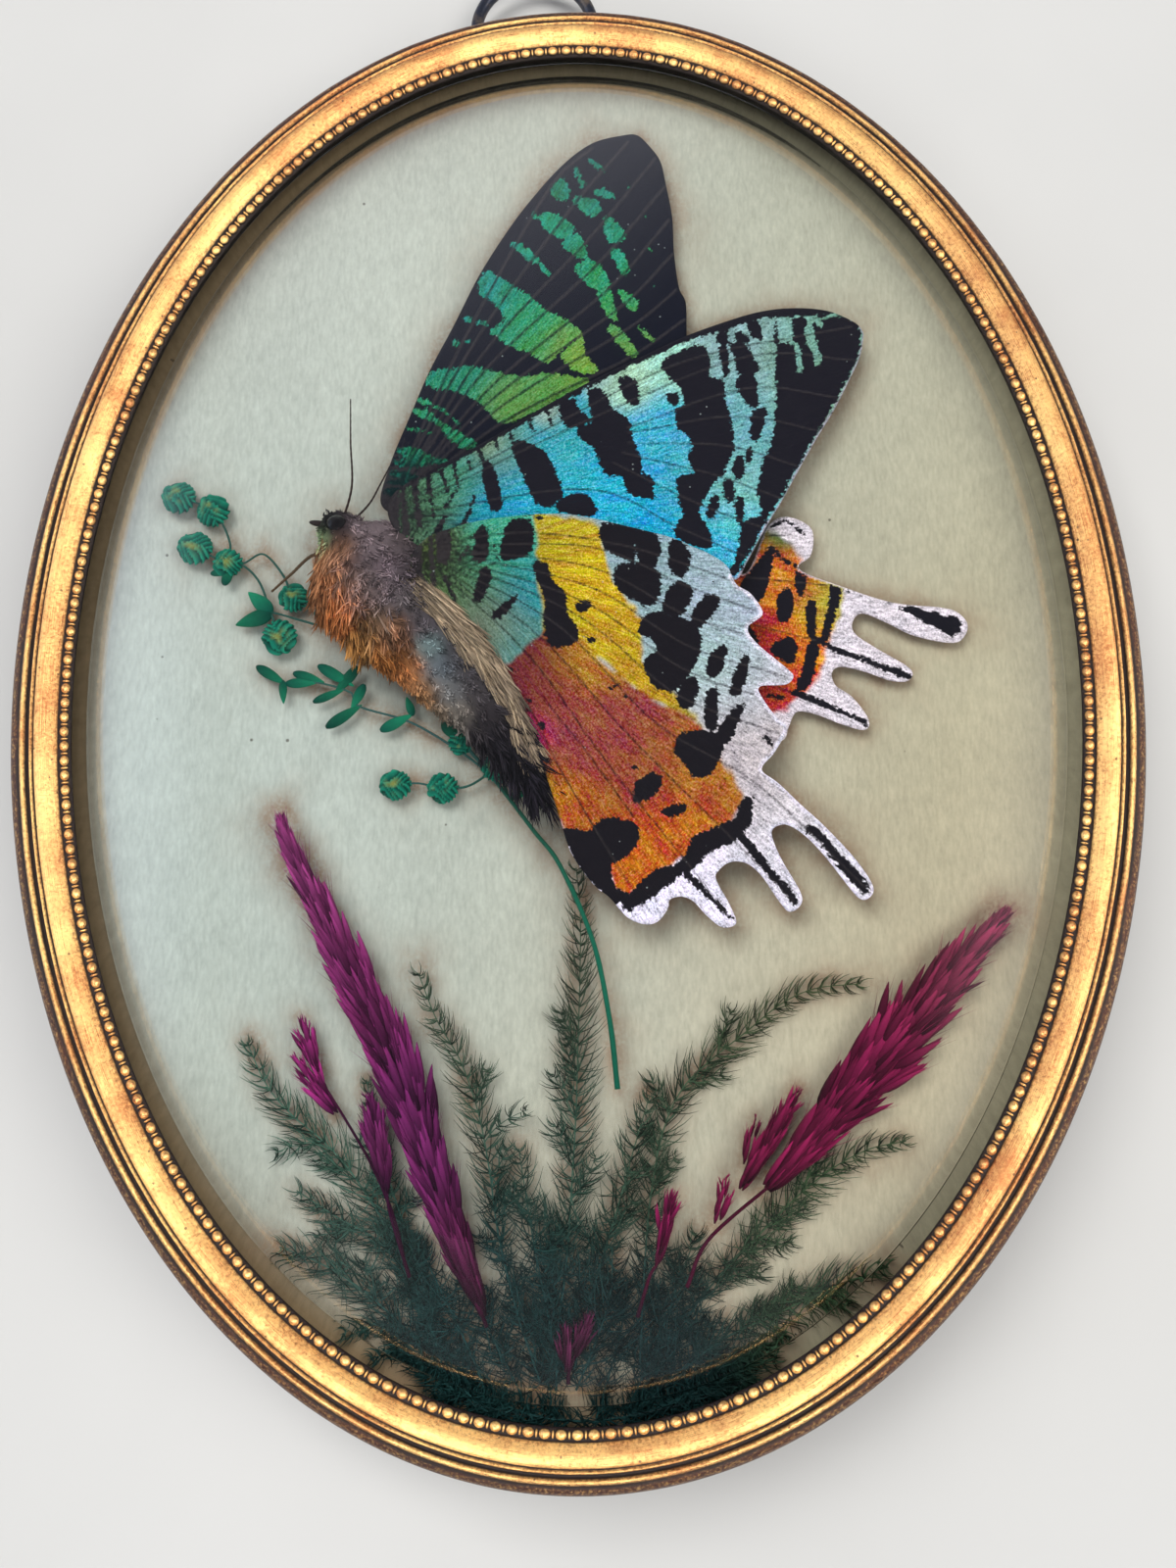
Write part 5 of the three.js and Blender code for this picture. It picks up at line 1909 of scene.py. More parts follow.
@dataclass
class MothBody:
    """Head, thorax and abdomen with fur, feelers, palp and foreleg."""

    head: tuple[float, float] = (345.0, 540.0)
    tail: tuple[float, float] = (559.0, 824.0)
    middle_y: float = -7.4
    hairs: int = 8800
    clumps: int = 1100
    hair_width: float = 0.05
    fringe_hairs: int = 1300
    fringe_clumps: int = 120
    feeler_radius: float = 0.13
    foreleg_radius: float = 0.19
    eye_place: tuple[float, float] = (346.0, 538.0)
    eye_y: float = -8.1
    eye_half: tuple[float, float, float] = (0.95, 0.8, 0.88)
    middle_line: str = "350,560 400,610 460,690 530,775"
    middle_half: float = 32.0
    palp_place: tuple[float, float] = (328.0, 537.0)
    palp_half: tuple[float, float, float] = (0.95, 0.3, 0.3)
    # How far hairs stand off the skin where they lie flat, and how much more when loose.
    lift: float = 0.14
    loose_lift: float = 0.5
    # How a clump's hairs spread along and round the body, and how they gather at its middle.
    clump_length: float = 2.4
    clump_turn: float = 0.07
    gather: float = 0.8
    stray: float = 0.1
    root_sink: float = 0.06
    hair_bend: float = 4.0
    clump_light: tuple[float, float] = (0.4, 1.55)
    # The long fringe: its hairs' length and lean, first and how much more at its end.
    fringe_length: tuple[float, float] = (2.2, 4.6)
    fringe_lean: tuple[float, float] = (42.0, 26.0)
    fringe_y: float = -9.0
    # Sheet units from the head along the body, its edges to the left and right of that line,
    # and half its depth in millimetres.
    girth: str = """
    -15,-3,3,0.3 -11,-13,12,0.9 0,-20,18,1.2 12,-27,24,1.4 24,-46,42,1.9 44,-56,58,2.3
    70,-58,62,2.4
    98,-55,54,2.3 122,-50,43,2.1 150,-44,42,2.0 180,-38,41,1.9 215,-30,40,1.8 250,-20,36,1.6
    280,-12,31,1.4 315,-9,20,1.0 338,-5,9,0.6 350,-1,3,0.2
    """
    # Sheet point, reach, hair length in millimetres, the way the hairs lie in degrees down
    # from +u, how loosely they lie, and their colour. The dark rows at 412,592 and 402,657
    # are painted shade, in the crease by the thorax and under the grey lump.
    coat: str = """
    342,541,10,0.3,120,0.5,30,27,32 330,553,6,0.3,110,0.5,160,186,140
    352,552,6,0.5,110,0.5,52,44,50
    352,562,8,1.5,118,0.15,184,130,96 330,590,14,2.3,88,0.1,180,124,86
    345,612,13,2.3,72,0.12,196,120,66
    325,610,8,1.8,80,0.2,150,104,70 340,640,8,1.5,60,0.25,150,92,54
    358,592,8,1.6,80,0.3,164,130,120
    364,574,4,1.0,80,0.4,78,54,52 366,604,4,1.0,80,0.4,84,60,56 412,592,5,0.6,70,0.6,62,52,60
    402,657,5,1.0,60,0.3,64,46,44 440,560,10,0.7,40,0.8,60,54,60 396,578,7,0.8,100,1.0,146,124,136
    385,560,18,0.75,60,1.0,146,128,134 405,590,18,0.75,70,0.9,124,110,118
    375,600,12,0.8,75,0.8,154,132,130
    412,556,10,0.7,40,0.8,70,60,60 425,575,10,0.7,40,0.8,96,84,90
    432,628,17,0.6,60,0.3,98,90,96 420,610,10,0.6,60,0.4,124,114,114
    372,645,9,2.2,65,0.2,190,136,76 388,636,9,2.0,72,0.2,130,108,92
    402,645,9,2.2,62,0.12,196,138,100
    400,668,9,1.3,50,0.25,176,112,56 418,684,11,0.8,50,0.25,200,132,80
    432,708,10,0.7,50,0.3,180,134,92
    448,730,8,0.6,50,0.3,140,120,100 438,662,8,0.35,55,0.4,136,158,160
    445,684,10,0.35,55,0.5,128,140,150
    458,706,9,0.35,55,0.5,140,140,142 470,728,8,0.4,52,0.4,150,140,132
    468,676,12,0.5,52,0.3,84,80,86
    486,704,12,0.6,52,0.3,82,76,80 478,660,9,1.0,55,0.3,96,90,92 496,734,11,1.2,56,0.2,62,56,60
    515,762,14,2.0,60,0.15,44,40,46 536,786,14,2.6,64,0.12,38,34,42 548,800,10,2.6,66,0.1,34,30,38
    """
    feelers: tuple[str, ...] = (
        "350,540,-7.6 361,500,-7.0 360,455,-6.4 360,411,-5.9",
        "350,545,-7.2 377,519,-6.7 391,495,-5.7 404,470,-5.1",
    )
    foreleg: str = "345,572,-6.8 322,569,-6.3 300,588,-5.9 280,606,-5.7"
    fringe_line: str = """430,600,-9.3 448,618,-9.4 474,646,-9.4 500,676,-9.3 518,706,-9.1
    533,736,-8.9 542,764,-8.6"""

    def coat_at(self, places: Array) -> Array:
        """The coat at sheet points, blended from its rows.

        Args:
            places: sheet points in two columns.

        Returns:
            Columns: hair length, the way it lies on the sheet (2), looseness, colour (3).
        """
        rows = read_points(self.coat)
        lie = np.radians(rows[:, 4])
        tints = np.array([linear(*row[6:9]) for row in rows])
        values = np.column_stack([rows[:, 3], np.cos(lie), np.sin(lie), rows[:, 5], tints])
        return spread(places, rows[:, :3]) @ values

    def spot(self, along: Array, angle: Array) -> tuple[Array, Array]:
        """Sheet points and depths on the body's skin.

        Round the body the side step is the middle between its two edges plus half their
        distance * cos, and the depth is the middle one less half the depth * sin.

        Args:
            along: sheet units from the head, one a point.
            angle: the turn round the body's length.

        Returns:
            Sheet points, and each one's depth.
        """
        table = read_points(self.girth)
        left, right, deep = (np.interp(along, table[:, 0], table[:, k]) for k in (1, 2, 3))
        way = unit(np.subtract(self.tail, self.head))
        side = np.array([way[1], -way[0]])
        step = (left + right) / 2 + (right - left) / 2 * np.cos(angle)
        places = np.array(self.head) + along[..., None] * way + step[..., None] * side
        lumps = 1 + 0.16 * soft_noise(places, 17.0, 12) + 0.08 * soft_noise(places, 7.0, 4)
        return places, self.middle_y - deep * lumps * np.sin(angle)

    def skin(self) -> Surface:
        """The body's own shape as one closed form, tinted like the coat but darker."""
        table = read_points(self.girth)
        along = smooth_path(table[:, :1], 90)[:, 0]
        angle = np.arange(40) * TAU / 40
        along, angle = (a.ravel() for a in np.meshgrid(along, angle, indexing="ij"))
        places, depth = self.spot(along, angle)
        form = closed_tube(SHEET.land(places, depth).reshape(90, 40, 3))
        tint = self.coat_at(SHEET.seen_at(form.points))[:, 4:] * 0.6
        return form.plain().with_field("tint", tint).with_field("shade", 0.4)

    def fur(self) -> Surface:
        """Hairs rooted in the skin that lie the coat's way, and a long fringe down one side.

        Each hair's way is the way it lies + (outward normal + a push that its clump shares)
        * (lift + loose lift * looseness) + a pull to the clump's middle + a random push.
        """
        rng = np.random.default_rng(21)
        table = read_points(self.girth)
        fine = np.linspace(-14, 348, 400)
        girth = np.interp(fine, table[:, 0], table[:, 2] - table[:, 1])
        along = np.interp(rng.uniform(size=self.clumps), np.cumsum(girth) / girth.sum(), fine)
        angle = rng.uniform(-0.3, math.pi + 0.3, self.clumps)
        clump = rng.integers(0, self.clumps, self.hairs)
        middle = SHEET.land(*self.spot(along, angle))[clump]
        along = along[clump] + rng.normal(size=self.hairs) * self.clump_length
        angle = angle[clump] + rng.normal(size=self.hairs) * self.clump_turn
        places, depth = self.spot(along, angle)
        root = SHEET.land(places, depth + self.root_sink)
        coat = self.coat_at(places)
        here = SHEET.land(places, depth)
        way = unit(np.subtract(self.tail, self.head))
        side = SHEET.land(places + [way[1], -way[0]], depth) - here
        normal = unit(side) * np.cos(angle)[:, None] - np.sin(angle)[:, None] * [0.0, 1.0, 0.0]
        lie = unit(SHEET.land(places + unit(coat[:, 1:3]), depth) - here)
        rise = self.lift + self.loose_lift * coat[:, 3:4]
        push = rng.normal(size=(self.clumps, 3))[clump]
        pull = (middle - root) / np.maximum(coat[:, :1], 0.5) * self.gather
        ways = lie + (normal + push) * rise + pull + rng.normal(size=root.shape) * self.stray
        grown = rng.uniform(0.6, 1.3, self.clumps)[clump] * rng.uniform(0.8, 1.2, self.hairs)
        tints = coat[:, 4:] * rng.uniform(*self.clump_light, (self.clumps, 1))[clump]
        edge = self.fringe(rng)
        count = self.hairs + self.fringe_hairs
        root, ways = np.vstack([root, edge[0]]), np.vstack([ways, edge[1]])
        lengths = np.concatenate([coat[:, 0] * grown, edge[2]])
        widths = np.full(count, self.hair_width)
        form = blade_form(self.hair_bend)
        axes = axes_along(ways, lengths, widths, rng.uniform(0, TAU, count))
        tints = np.repeat(np.vstack([tints, edge[3]]), len(form.points), axis=0)
        return scattered(form, root, axes).with_field("tint", tints)

    def fringe(self, rng: Rng) -> tuple[Array, Array, Array, Array]:
        """Long pale hairs in locks along the fringe line, turning down with its length.

        Args:
            rng: the coat's random numbers.

        Returns:
            Each hair's root, way, length and linear colour.
        """
        count, locks = self.fringe_hairs, self.fringe_clumps
        line = smooth_path(read_points(self.fringe_line), count)
        share = np.linspace(0, 1, count)
        lock = (np.arange(count) * locks) // count
        shift = rng.uniform(-14, 8, (locks, 1))[lock] + rng.normal(size=(count, 1)) * 1.4
        place = line[:, :2] + shift * [0.795, -0.605]
        depth = line[:, 2] + 0.02 * np.abs(shift[:, 0]) + rng.uniform(-0.1, 0.2, count)
        swing = rng.normal(size=locks)[lock] * 7 + rng.normal(size=count) * 2.5
        lean = np.radians(self.fringe_lean[0] + self.fringe_lean[1] * share + swing)
        down = place + np.stack([np.cos(lean), np.sin(lean)], -1)
        fall = SHEET.land(down, self.fringe_y) - SHEET.land(place, self.fringe_y)
        way = unit(fall) + rng.normal(size=fall.shape) * [0.02, 0.05, 0.02]
        tan, grey = linear(202, 178, 150), linear(108, 94, 88)
        mixed = rng.uniform(0, 1, (locks, 1))[lock] * (0.5 + 0.5 * share[:, None])
        tint = (tan + (grey - tan) * mixed) * rng.uniform(0.6, 1.25, (count, 1))
        long = rng.uniform(*self.fringe_length, locks)[lock] * rng.uniform(0.85, 1.1, count)
        return SHEET.land(place, depth), way, long * (1 - 0.3 * share), tint

    def limbs(self) -> Surface:
        """Feelers that taper to their tips, the foreleg and the palp."""
        parts = []
        routes = [(route, self.feeler_radius, 0.45, (48, 36, 34)) for route in self.feelers]
        routes.append((self.foreleg, self.foreleg_radius, 0.6, (84, 66, 50)))
        steps = np.arange(60)
        for route, radius, end, tint in routes:
            path = smooth_path(read_points(route), len(steps))
            path = SHEET.land(path[:, :2], path[:, 2])
            knots = 1 + 0.14 * np.sin(steps * 2.1)
            limb = tube(path, radius * np.linspace(1.0, end, len(steps)) * knots, 8)
            parts.append(limb.with_field("tint", linear(*tint)))
        palp = closed_tube(unit_ball(12, 14) * np.array(self.palp_half))
        tip = SHEET.land(np.array([self.palp_place]), self.middle_y)
        palp.points = turned_about_y(palp.points, 10) + tip
        parts.append(palp.with_field("tint", linear(44, 36, 36)))
        whole = Surface.joined([part.plain("along", "tint") for part in parts])
        return whole.with_field("shade", 0.5)

    def build(self) -> list[WideLine]:
        """Makes and dresses the skin, fur, limbs and eye, and gives back its middle line."""
        fur = StoredTint("moth_fur", roughness=0.75, vary=0.5).make()
        limb = StoredTint("moth_limb", roughness=0.5, vary=0.2).make()
        self.skin().to_piece("moth_skin", fur, "moth_fur", replaces=("moth_body",))
        self.fur().to_piece("moth_fur", fur, "moth_fur")
        self.limbs().to_piece("moth_limbs", limb, "moth_fur")
        eye = closed_tube(unit_ball(24, 30) * np.array(self.eye_half)).plain()
        eye.points = eye.points + SHEET.land(np.array([self.eye_place]), self.eye_y)
        eye.to_piece("moth_eye", EyeGloss("moth_eye").make(), "moth_fur")
        return [(read_points(self.middle_line), self.middle_half)]


# -------------------------------------------------------------------------- the plants


@dataclass
class QuakingGrass:
    """Dyed grass: one stem, fine stalks, round scaly heads and pointed seed cases."""

    depth: float = -4.5
    stem_radius: float = 0.25
    stalk_radius: float = 0.11
    stem_half: float = 2.0
    stalk_half: float = 3.0
    head_half_depth: float = 0.66
    husk_rows: float = 2.3
    head_rings: int = 64
    head_sides: int = 44
    husk_slant: float = 0.95
    husk_rise: tuple[float, float] = (0.8, 0.26)
    # The husks' teal in painted shade at their feet, and lit at their free edges.
    shaded_dye: tuple = (2, 50, 46)
    lit_dye: tuple = (26, 148, 120)
    undyed: tuple = (134, 132, 62)
    stem: str = """630,1110,-5.9 622,1040,-5.9 605,960,-5.9 572,884,-5.8 545,848,-5.2 500,790,-4.5
    440,722,-4.5 380,668,-4.5 334,642,-4.5"""
    stalks: str = """
334,642 318,622 302,612
334,642 306,634 279,627 262,632
300,612 292,590 272,568 252,577 235,577
279,627 268,597 252,580 235,577 203,562
235,577 238,556 221,524 187,511
279,627 284,640 288,652
500,790 468,766 420,738 368,722 360,708 326,698 292,698 272,688
440,722 458,742 471,759
500,790 478,803 453,805 428,800 405,802
520,816 514,800 505,784
"""
    # Sheet point, radius in millimetres and the way to the tip.
    heads: str = """
    187,511,1.62,-1,-0.3 221,524,1.62,-0.4,-1 203,562,1.66,-1,-0.3 236,577,1.42,-1,0.1
    302,612,1.42,-0.8,-0.9 288,652,1.7,0.2,1 471,759,1.17,0.5,0.9 505,784,1.27,-0.4,-1
    453,805,1.46,-1,0.1 405,802,1.46,-1,0"""
    # From, to and half width in millimetres.
    seeds: str = """
    281,628,256,606,0.75 281,628,243,640,0.8 218,588,244,583,0.4 232,600,240,578,0.5
    264,681,295,700,0.5 291,695,292,720,0.4 301,688,334,698,0.48 293,699,327,698,0.48
    326,680,364,702,0.55 368,681,343,710,0.55 321,718,355,704,0.42 374,699,360,726,0.5
    334,744,372,720,0.55 389,747,423,730,0.55 423,732,416,712,0.4 453,736,471,757,0.7
    520,815,540,808,0.4"""

    def stems(self) -> Surface:
        """The stem with faint ribs and the stalks, each a tapering tube."""
        route = smooth_path(read_points(self.stem), 160)
        path = SHEET.land(route[:, :2], route[:, 2])
        ribs = 1 + 0.05 * soft_noise(np.arange(320).reshape(160, 2), 9.0, 1)
        parts = [tube(path, self.stem_radius * np.linspace(1.0, 0.55, 160) * ribs, 12)]
        for route in read_patches(self.stalks):
            line = smooth_path(route, 40)
            path = SHEET.land(line, self.depth)
            parts.append(tube(path, self.stalk_radius * np.linspace(1.1, 0.8, 40), 8))
        whole = Surface.joined([part.plain("along") for part in parts])
        places = SHEET.seen_at(whole.points)
        tints = """330,640,60,52,92,84 450,720,60,56,88,88 545,850,60,30,84,66
            610,980,70,22,100,78 630,1100,40,14,88,68 250,590,60,44,80,72"""
        return whole.with_field("tint", blended(places, tints)).with_field("shade", 0.5)

    def scaly_heads(self) -> Surface:
        """Round heads of overlapping husks: a ball whose radius grows along each husk and
        drops at its free edge.

        With x towards the tip and z across, a point's husk count is rows * (x + slant * |z|),
        half a husk further on one side; its fraction f sets the radius to 0.8 + 0.26 * f^0.7.
        """
        rng = np.random.default_rng(5)
        ball = unit_ball(self.head_rings, self.head_sides)
        x, z = ball[..., 0], ball[..., 2]
        parts = []
        for u, v, radius, way_u, way_v in read_points(self.heads):
            centre, tip = SHEET.land(np.array([[u, v], [u + way_u, v + way_v]]), self.depth)
            tip = unit(tip - centre)
            side = unit(np.cross(tip, [0.0, 1.0, 0.0])) * rng.choice([-1.0, 1.0])
            wave = 0.16 * np.sin(x * 4 + ball[..., 1] * 2 + rng.uniform(0, TAU))
            across = z + wave
            husk = self.husk_rows * (x + self.husk_slant * np.abs(across)) + 0.5 * (across > 0)
            fraction = (husk + rng.uniform()) % 1.0
            swell = self.husk_rise[0] + self.husk_rise[1] * fraction**0.7
            points = ball * swell[..., None] * [radius, self.head_half_depth, radius * 0.98]
            head = closed_tube(points @ np.stack([tip, [0.0, 1.0, 0.0], side], -1).T + centre)
            flat = np.stack([x.ravel(), z.ravel()], -1)
            grain = soft_noise(flat * 3, 1.0, int(u))
            away = np.sum((flat - [0.1, 0.0]) ** 2, axis=1)
            worn = np.exp(-away / 0.22) * ease(grain, -0.3, 0.5)
            # Painted shade: each husk is darkest at its foot, under the husk before it, and
            # lighter, with a little painted highlight, towards its free edge.
            dark, light = linear(*self.shaded_dye), linear(*self.lit_dye)
            tint = dark + (light - dark) * fraction.ravel()[:, None] ** 1.4
            tint += (linear(*self.undyed) - tint) * worn[:, None] * 0.75
            tint *= 1 + 0.3 * grain[:, None]
            tint = np.vstack([tint, tint[:1], tint[-1:]])
            parts.append(head.plain().with_field("tint", tint))
        return Surface.joined(parts).with_field("shade", 0.5)

    @staticmethod
    def husk_form(rings: int, sides: int) -> Surface:
        """A pointed husk: half width sin(pi * along^0.7)^0.8, less than half as deep, with a
        keel down its front."""
        along = np.linspace(0.02, 0.98, rings)
        width = np.sin(math.pi * along**0.7) ** 0.8
        angle = np.arange(sides)[None] * TAU / sides
        y = width[:, None] * np.cos(angle)
        z = width[:, None] * 0.42 * np.sin(angle) * (1 + 0.35 * (np.sin(angle) > 0.9))
        x = np.broadcast_to(along[:, None], y.shape)
        return closed_tube(np.stack([x, y, z], -1))

    def seed_cases(self) -> Surface:
        """Pointed seed cases between two sheet points."""
        ends = read_points(self.seeds)
        start = SHEET.land(ends[:, :2], self.depth)
        end = SHEET.land(ends[:, 2:4], self.depth)
        way = end - start
        length = np.linalg.norm(way, axis=1)
        axes = axes_along(way, length, ends[:, 4], np.zeros(len(ends)))
        seeds = scattered(self.husk_form(16, 18), start, axes)
        base, tip = linear(6, 66, 56), linear(26, 122, 90)
        tint = base + (tip - base) * seeds.fields["along"][:, None]
        return seeds.with_field("tint", tint)

    def build(self) -> list[WideLine]:
        """Makes and dresses the stems, heads and seed cases, and gives back their lines."""
        dyed = StoredTint("dyed_grass", roughness=0.55, vary=0.3, grain_scale=3200.0).make()
        self.stems().to_piece("grass_stems", dyed, "dyed_grass", replaces=("quaking_grass",))
        self.scaly_heads().to_piece("grass_heads", dyed, "dyed_grass")
        self.seed_cases().to_piece("grass_seed_cases", dyed, "dyed_grass")
        stem = (read_points(self.stem)[:, :2], self.stem_half)
        return [stem] + [(route, self.stalk_half) for route in read_patches(self.stalks)]


def frond_reach(half_width: float, along: Array, widening: float, base_share: float) -> Array:
    """How far a feathered piece stands out beside its middle line.

    half width * min(1, 0.3 + along * widening) * (1 - (1 - base share) * along^2).
    """
    opening = np.minimum(1.0, 0.3 + along * widening)
    return half_width * opening * (1 - (1 - base_share) * along**2)


@dataclass
class FernSpray:
    """Dried asparagus fern: tufts of fine curved needles along thin branches."""

    node: str
    depth: float
    fronds: str
    seed: int
    tuft_step: float = 12.5
    needles: int = 5
    needle_radius: float = 0.062
    needle_bow: float = 3.6
    # Degrees between a tuft's needles and their branch, and how much tufts and needles vary.
    lean: tuple[float, float, float] = (36.0, 7.0, 16.0)
    extra_tufts: float = 0.5
    loose_share: float = 0.55
    needle_length: tuple[float, float] = (0.8, 1.4)
    branch_radius: float = 0.1
    twig_radius: float = 0.06
    cross_from: float = 1130.0
    branchlet_step: float = 40.0
    widening: float = 2.0
    base_share: float = 0.6
    # The tints low on the sheet, by the moulding's rim, are darker: painted shade of the rim over
    # the needles.
    tints: str = """300,1140,60,62,92,78 300,1290,60,58,84,74 450,1050,60,60,80,64
        590,980,80,54,68,52 590,1150,60,50,76,66 480,1350,70,30,58,58 600,1380,70,26,50,50
        700,1150,70,58,74,54 840,1040,70,60,72,46 840,1210,70,54,72,48 840,1320,60,52,72,50
        690,1360,50,24,46,48"""

    def branchlets(self, half: float, line: Array, rng: Rng) -> list:
        """Short side branches from the lower two thirds of a branch, tip first.

        Args:
            half: the branch's half width.
            line: its middle line on the sheet.
            rng: the spray's random numbers.

        Returns:
            Each side branch's half width and line.
        """
        made = []
        for at in range(len(line) // 3, len(line) - 12, int(self.branchlet_step / 2)):
            u, v = unit(line[at - 1] - line[at])
            turn = math.radians(rng.uniform(24, 46)) * rng.choice([-1, 1])
            c, s = math.cos(turn), math.sin(turn)
            way = np.array([u * c - v * s, u * s + v * c])
            share = np.linspace(1, 0, 26)[:, None] * rng.uniform(1.3, 2.3) * half
            bow = np.array([-way[1], way[0]]) * rng.normal() * 0.12
            made.append((half * 0.62, line[at] + way * share + bow * share**2 / half))
        return made

    def needle_ends(self, half: float, line: Array, deep: Array, rng: Rng) -> Array:
        """Where a branch's needles start and end: tufts that fan out to both sides.

        Low on the sheet there are more tufts, and loose needles cross at any angle.

        Args:
            half: the branch's half width.
            line: its middle line on the sheet.
            deep: the depth along it.
            rng: the spray's random numbers.

        Returns:
            Rows of start u, v and depth, end u, v and depth, and side.
        """
        count = len(line)
        tufts = np.arange(2.0, count - 1, self.tuft_step / 4)
        height = line[tufts.astype(int), 1]
        extra = self.extra_tufts * ease(height, self.cross_from + 20, self.cross_from + 220)
        kept = (np.arange(len(tufts)) % 2 == 0) | (rng.uniform(size=len(tufts)) < extra)
        tufts = np.concatenate([tufts[kept], tufts[kept] + 1])
        side = np.repeat([-1.0, 1.0], len(tufts) // 2)
        middle, tuft_spread, needle_spread = self.lean
        centre = rng.normal(middle, tuft_spread, len(tufts))
        total = len(tufts) * self.needles
        pick = np.repeat(tufts, self.needles) + rng.normal(size=total) * 0.5
        side, centre = np.repeat(side, self.needles), np.repeat(centre, self.needles)
        pick = np.clip(pick, 1, count - 1).astype(int)
        low = ease(line[pick, 1], self.cross_from, self.cross_from + 150)
        loose = rng.uniform(size=total) < self.loose_share * low
        crossing = rng.uniform(10, 170, total)
        fanned = np.clip(centre + rng.normal(size=total) * needle_spread, 12, 80)
        lean = np.radians(np.where(loose, crossing, fanned))
        towards = unit(line[pick - 1] - line[pick])
        across = np.stack([-towards[:, 1], towards[:, 0]], -1) * side[:, None]
        reach = frond_reach(half, pick / count, self.widening, self.base_share)
        length = reach * rng.uniform(*self.needle_length, total)
        length /= np.maximum(np.sin(lean), 0.56)
        way = towards * np.cos(lean)[:, None] + across * np.sin(lean)[:, None]
        end = line[pick] + way * length[:, None]
        start_off, end_off = rng.uniform(-1, 1, (2, total)) * [[0.12], [0.34]]
        depth = deep[pick]
        return np.column_stack([line[pick], depth + start_off, end, depth + end_off, side])

    def build(self) -> list[WideLine]:
        """Makes and dresses the spray, and gives back its middle lines with half widths.

        A needle is a three-sided blade that bows by sin(pi * along) towards the tip.
        """
        rng = np.random.default_rng(self.seed)
        main = read_branches(self.fronds, 2.0)
        every = main + [twig for half, line in main for twig in self.branchlets(half, line, rng)]
        stems, rows = [], []
        for half, line in every:
            deep = self.depth + 0.12 * soft_noise(line, 60.0, self.seed)
            thick = self.branch_radius if len(line) > 30 else self.twig_radius
            radii = np.linspace(0.45, 1.0, len(line)) * thick
            stems.append(tube(SHEET.land(line, deep), radii, 5).plain())
            rows.append(self.needle_ends(half, line, deep, rng))
        rows = np.vstack(rows)
        count = len(rows)
        root, tip = SHEET.land(rows[:, :2], rows[:, 2]), SHEET.land(rows[:, 3:5], rows[:, 5])
        length = np.linalg.norm(tip - root, axis=1)
        form = blade_form(0.0, 4, 0.45)
        bow = np.sin(np.clip(form.points[:, 0], 0, 1) * math.pi)
        form.points[:, 1] += self.needle_bow * bow
        # A half turn of the blade puts its bow on the other side.
        roll = np.where(rows[:, 6] > 0, math.pi, 0.0) + rng.normal(size=count) * 0.5
        axes = axes_along(tip - root, length, np.full(count, self.needle_radius), roll)
        stem = Surface.joined(stems).with_field("shade", 0.9)
        whole = Surface.joined([scattered(form, root, axes).plain("shade"), stem])
        whole.with_field("tint", blended(SHEET.seen_at(whole.points), self.tints))
        leaf = StoredTint("dried_fern_" + self.node, roughness=0.65, vary=0.85).make()
        whole.to_piece(self.node + "_needles", leaf, "dried_fern", replaces=(self.node,))
        return [(line[::6], half * 0.35) for half, line in main]


FERN_SPRAYS = (
    FernSpray("fern_spray_left", -3.95, """
25 255,1062 275,1105 300,1135 335,1165 365,1200 402,1260 436,1335 455,1385
24 306,1212 345,1238 390,1265 425,1310 448,1370
26 290,1268 330,1285 370,1310 410,1345 448,1385
16 376,1100 385,1150 400,1205 420,1265 444,1340
22 392,1345 430,1375 465,1403 502,1432
24 425,1262 450,1310 478,1368 505,1430
24 470,1300 498,1350 522,1395 545,1438
20 548,1330 552,1370 560,1405 566,1438
22 430,1372 468,1400 508,1422 552,1436 596,1441
18 404,1362 440,1394 480,1418 520,1434
""", 31),
    FernSpray("fern_spray_middle", -4.6, """
22 428,992 447,1040 470,1080 488,1130 500,1190 510,1260 530,1340 552,1405
24 588,885 592,930 592,990 590,1060 588,1130 584,1200 578,1290 570,1350 568,1414
24 530,1170 536,1210 546,1270 560,1340 570,1395
25 662,1118 648,1165 630,1230 606,1310 584,1400
24 625,1270 622,1320 606,1370 588,1412
""", 32),
    FernSpray("fern_spray_right", -3.95, """
22 876,1003 830,1008 795,1024 760,1052 725,1080 694,1112 674,1160 662,1230 656,1310 652,1390
24 921,1162 885,1170 850,1188 815,1215 785,1245 750,1280 715,1320 685,1365 664,1405
24 901,1287 865,1300 830,1316 790,1336 750,1354 715,1376 690,1400
20 790,1378 750,1390 700,1406 648,1424
24 710,1255 690,1310 672,1360 640,1430
22 640,1300 634,1350 622,1395 608,1438
22 735,1340 705,1380 672,1410 640,1436
22 770,1366 735,1394 696,1416 650,1433 604,1441
18 800,1352 760,1386 720,1408 676,1426
""", 33),
)


